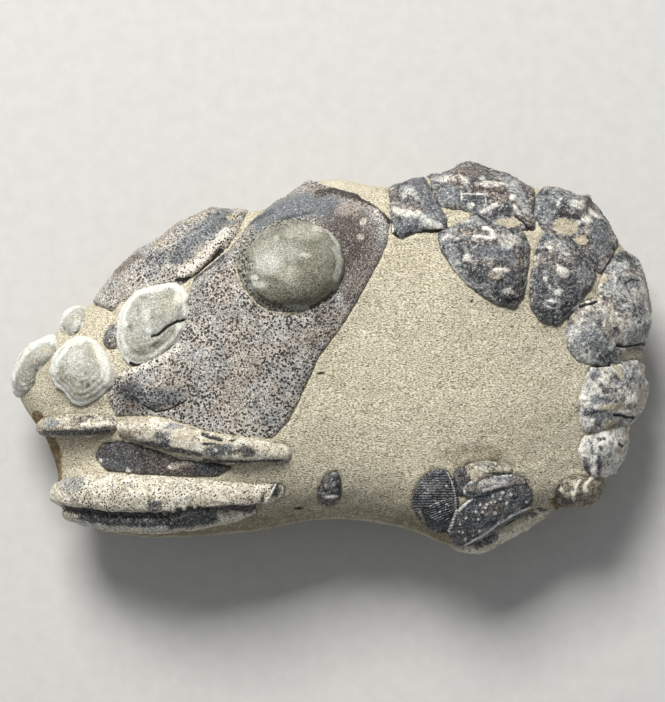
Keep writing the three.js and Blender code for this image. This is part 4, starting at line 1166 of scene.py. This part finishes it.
def shape_seashell(skin):
    """Growth lines round the dome. The largest shell has a low granular skirt on its left, the others have
    a pale lip."""
    largest = skin.node == "shell_large"
    reach = skin.reach()
    waves = reach * GROWTH_WAVE + 2.2 * fractal(skin.points, 4.0, skin.seed)
    skin.raise_by(0.02 if largest else 0.07, np.sin(waves))
    edge = reach + 0.05 * fractal(skin.points, 1.2, skin.seed)
    if largest:
        skirt = ease(edge, 0.76, 0.86) * skin.fade(0, 0.75, 0.45)
        skin.raise_by(-0.5, skirt)
        skin.raise_by(0.25, skirt * fractal(skin.points, 0.8, skin.seed + 5))
        skin.paint("pits", skirt, 0.8)
        skin.paint("tone", skirt, 0.5, 0.66)
    else:
        skin.paint("tone", ease(edge, 0.82, 0.93), 0.85)


def shape_ribs(skin):
    """Close ribs across the lobe, level beyond its crease and along it on the near side."""
    x, y = (skin.points[:, :2] - skin.place((0.35, 0.4))).T
    beside = y - RIB_SLOPE * x
    near = ease(beside, 0.2, -0.2)
    ribs = (1 - near) * np.sin(y / RIB_PITCH * math.tau) + near * np.sin(beside / RIB_PITCH * math.tau)
    skin.raise_by(RIB_HEIGHT, ribs)
    skin.paint("tone", ease(ribs, 0.3, 1.0), 0.4, 0.7)


def make_pieces():
    """Every fossil piece, each with a seed of its own."""
    seed = FIRST_SEED
    for slot, group in GROUPS.items():
        for node in group["nodes"]:
            skin = Skin(node, FINE_VOXELS.get(node, PIECE_VOXEL), group["wear"], PIECE_SWELL, seed)
            lay_ground(skin, **group["ground"])
            if node == "carapace":
                shape_carapace(skin)
            if slot == "seashell":
                shape_seashell(skin)
            if node == "tail_fan_ribbed_lobe":
                shape_ribs(skin)
            skin.finish(group["material"], slot)
            seed += SEED_STEP


def sink_under(skin, nodes):
    """Lowers the skin where one of the nodes lies right under it."""
    solids = joined(nodes)
    tree = BVHTree.FromBMesh(solids)
    solids.free()
    aside = np.full(len(skin.points), np.inf)
    for index, point in enumerate(skin.points):
        found = tree.find_nearest(point * MM, INLAY_SEARCH * MM)[0]
        if found is not None:
            away = point - np.array(found) / MM
            normal = skin.normals[index]
            aside[index] = np.linalg.norm(away - (away @ normal) * normal)
    skin.raise_by(-INLAY_DEPTH, ease(aside, 0.55, 0.15))


def make_stone():
    """The stone, its pockets closed by the pieces that sit in them."""
    inlaid = [node for group in GROUPS.values() for node in group["nodes"]]
    skin = Skin("stone_matrix", STONE_VOXEL, STONE_WEAR, STONE_SWELL, STONE_SEED, inlaid)
    skin.raise_by(0.22, fractal(skin.points, 4.5, 11))
    skin.raise_by(0.06, fractal(skin.points, 1.1, 17, 2))
    sink_under(skin, inlaid)
    below = ease(-skin.normals[:, 2], 0.0, 0.7)
    skin.paint("rind", below * ease(fractal(skin.points, 9.0, 23), -0.2, 0.5), 0.75)
    # Painted shade: the stone's upper face darkens towards its near edge, where it turns down away from the
    # lamp.
    skin.paint("painted_shade", skin.fade(1, 0.2, 0.02) * ease(skin.normals[:, 2], 0.0, 0.3), 0.8)
    skin.finish(STONE, "stone")


# ---------------------------------------------------------------- floor, light and camera

FLOOR_WIDTH = 3.0  # metres
LAMP_WIDTH = 0.34  # metres
LAMP_PLACE = (-0.2, 0.52, 0.66)  # metres, beyond the stone and to the left
LAMP_POWER = 10.9  # watts
LAMP_COLOUR = (1.0, 0.985, 0.96)
FILL_COLOUR = (0.93, 0.96, 1.0, 1.0)
FILL_STRENGTH = 0.31
CAMERA_ELEVATION = math.radians(87)
CAMERA_DISTANCE = 0.62  # metres
CAMERA_LENS = 163.5
CAMERA_SENSOR = 36
AIM = (0.25, 1.1, 18)  # from the foot to the place that the camera looks at


def foot():
    """The middle of the CAD box's underside."""
    low, high = CAD_BOX
    return Vector(((low.x + high.x) / 2, (low.y + high.y) / 2, low.z))


def link(name, data, place, aim):
    """A lamp or a camera at a place, turned to look at another."""
    made = bpy.data.objects.new(name, data)
    made.location = place
    made.rotation_mode = "QUATERNION"
    made.rotation_quaternion = (place - aim).to_track_quat("Z", "Y")
    bpy.context.scene.collection.objects.link(made)
    return made


def make_stage():
    """A pale floor under one large soft light from beyond the stone, with a weak fill from all round."""
    bpy.ops.mesh.primitive_plane_add(size=FLOOR_WIDTH, location=foot())
    floor = bpy.context.object
    floor.name = "floor"
    paper = Recipe("pale_paper", roughness=0.95, specular=0.1)
    paper.colour = paper.ramp(paper.noise(3.0), [(0.3, "bdbcb9"), (0.7, "c3c2bf")])
    floor.data.materials.append(paper.finish())

    softbox = bpy.data.lights.new("softbox", "AREA")
    softbox.shape = "SQUARE"
    softbox.size = LAMP_WIDTH
    softbox.energy = LAMP_POWER
    softbox.color = LAMP_COLOUR
    link("softbox", softbox, Vector(LAMP_PLACE), Vector((0, 0, 0)))

    world = bpy.data.worlds.new("studio")
    world.use_nodes = True
    background = world.node_tree.nodes["Background"]
    background.inputs["Color"].default_value = FILL_COLOUR
    background.inputs["Strength"].default_value = FILL_STRENGTH
    bpy.context.scene.world = world
    bpy.context.scene.view_settings.view_transform = "Standard"


def make_camera():
    """Looks almost straight down on the face of the stone."""
    aim = foot() + Vector(AIM) * MM
    camera = bpy.data.cameras.new("camera")
    camera.lens = CAMERA_LENS
    camera.sensor_width = CAMERA_SENSOR
    back = Vector((0, -math.cos(CAMERA_ELEVATION), math.sin(CAMERA_ELEVATION)))
    bpy.context.scene.camera = link("camera", camera, aim + CAMERA_DISTANCE * back, aim)


make_stage()
make_camera()
make_stone()
make_pieces()
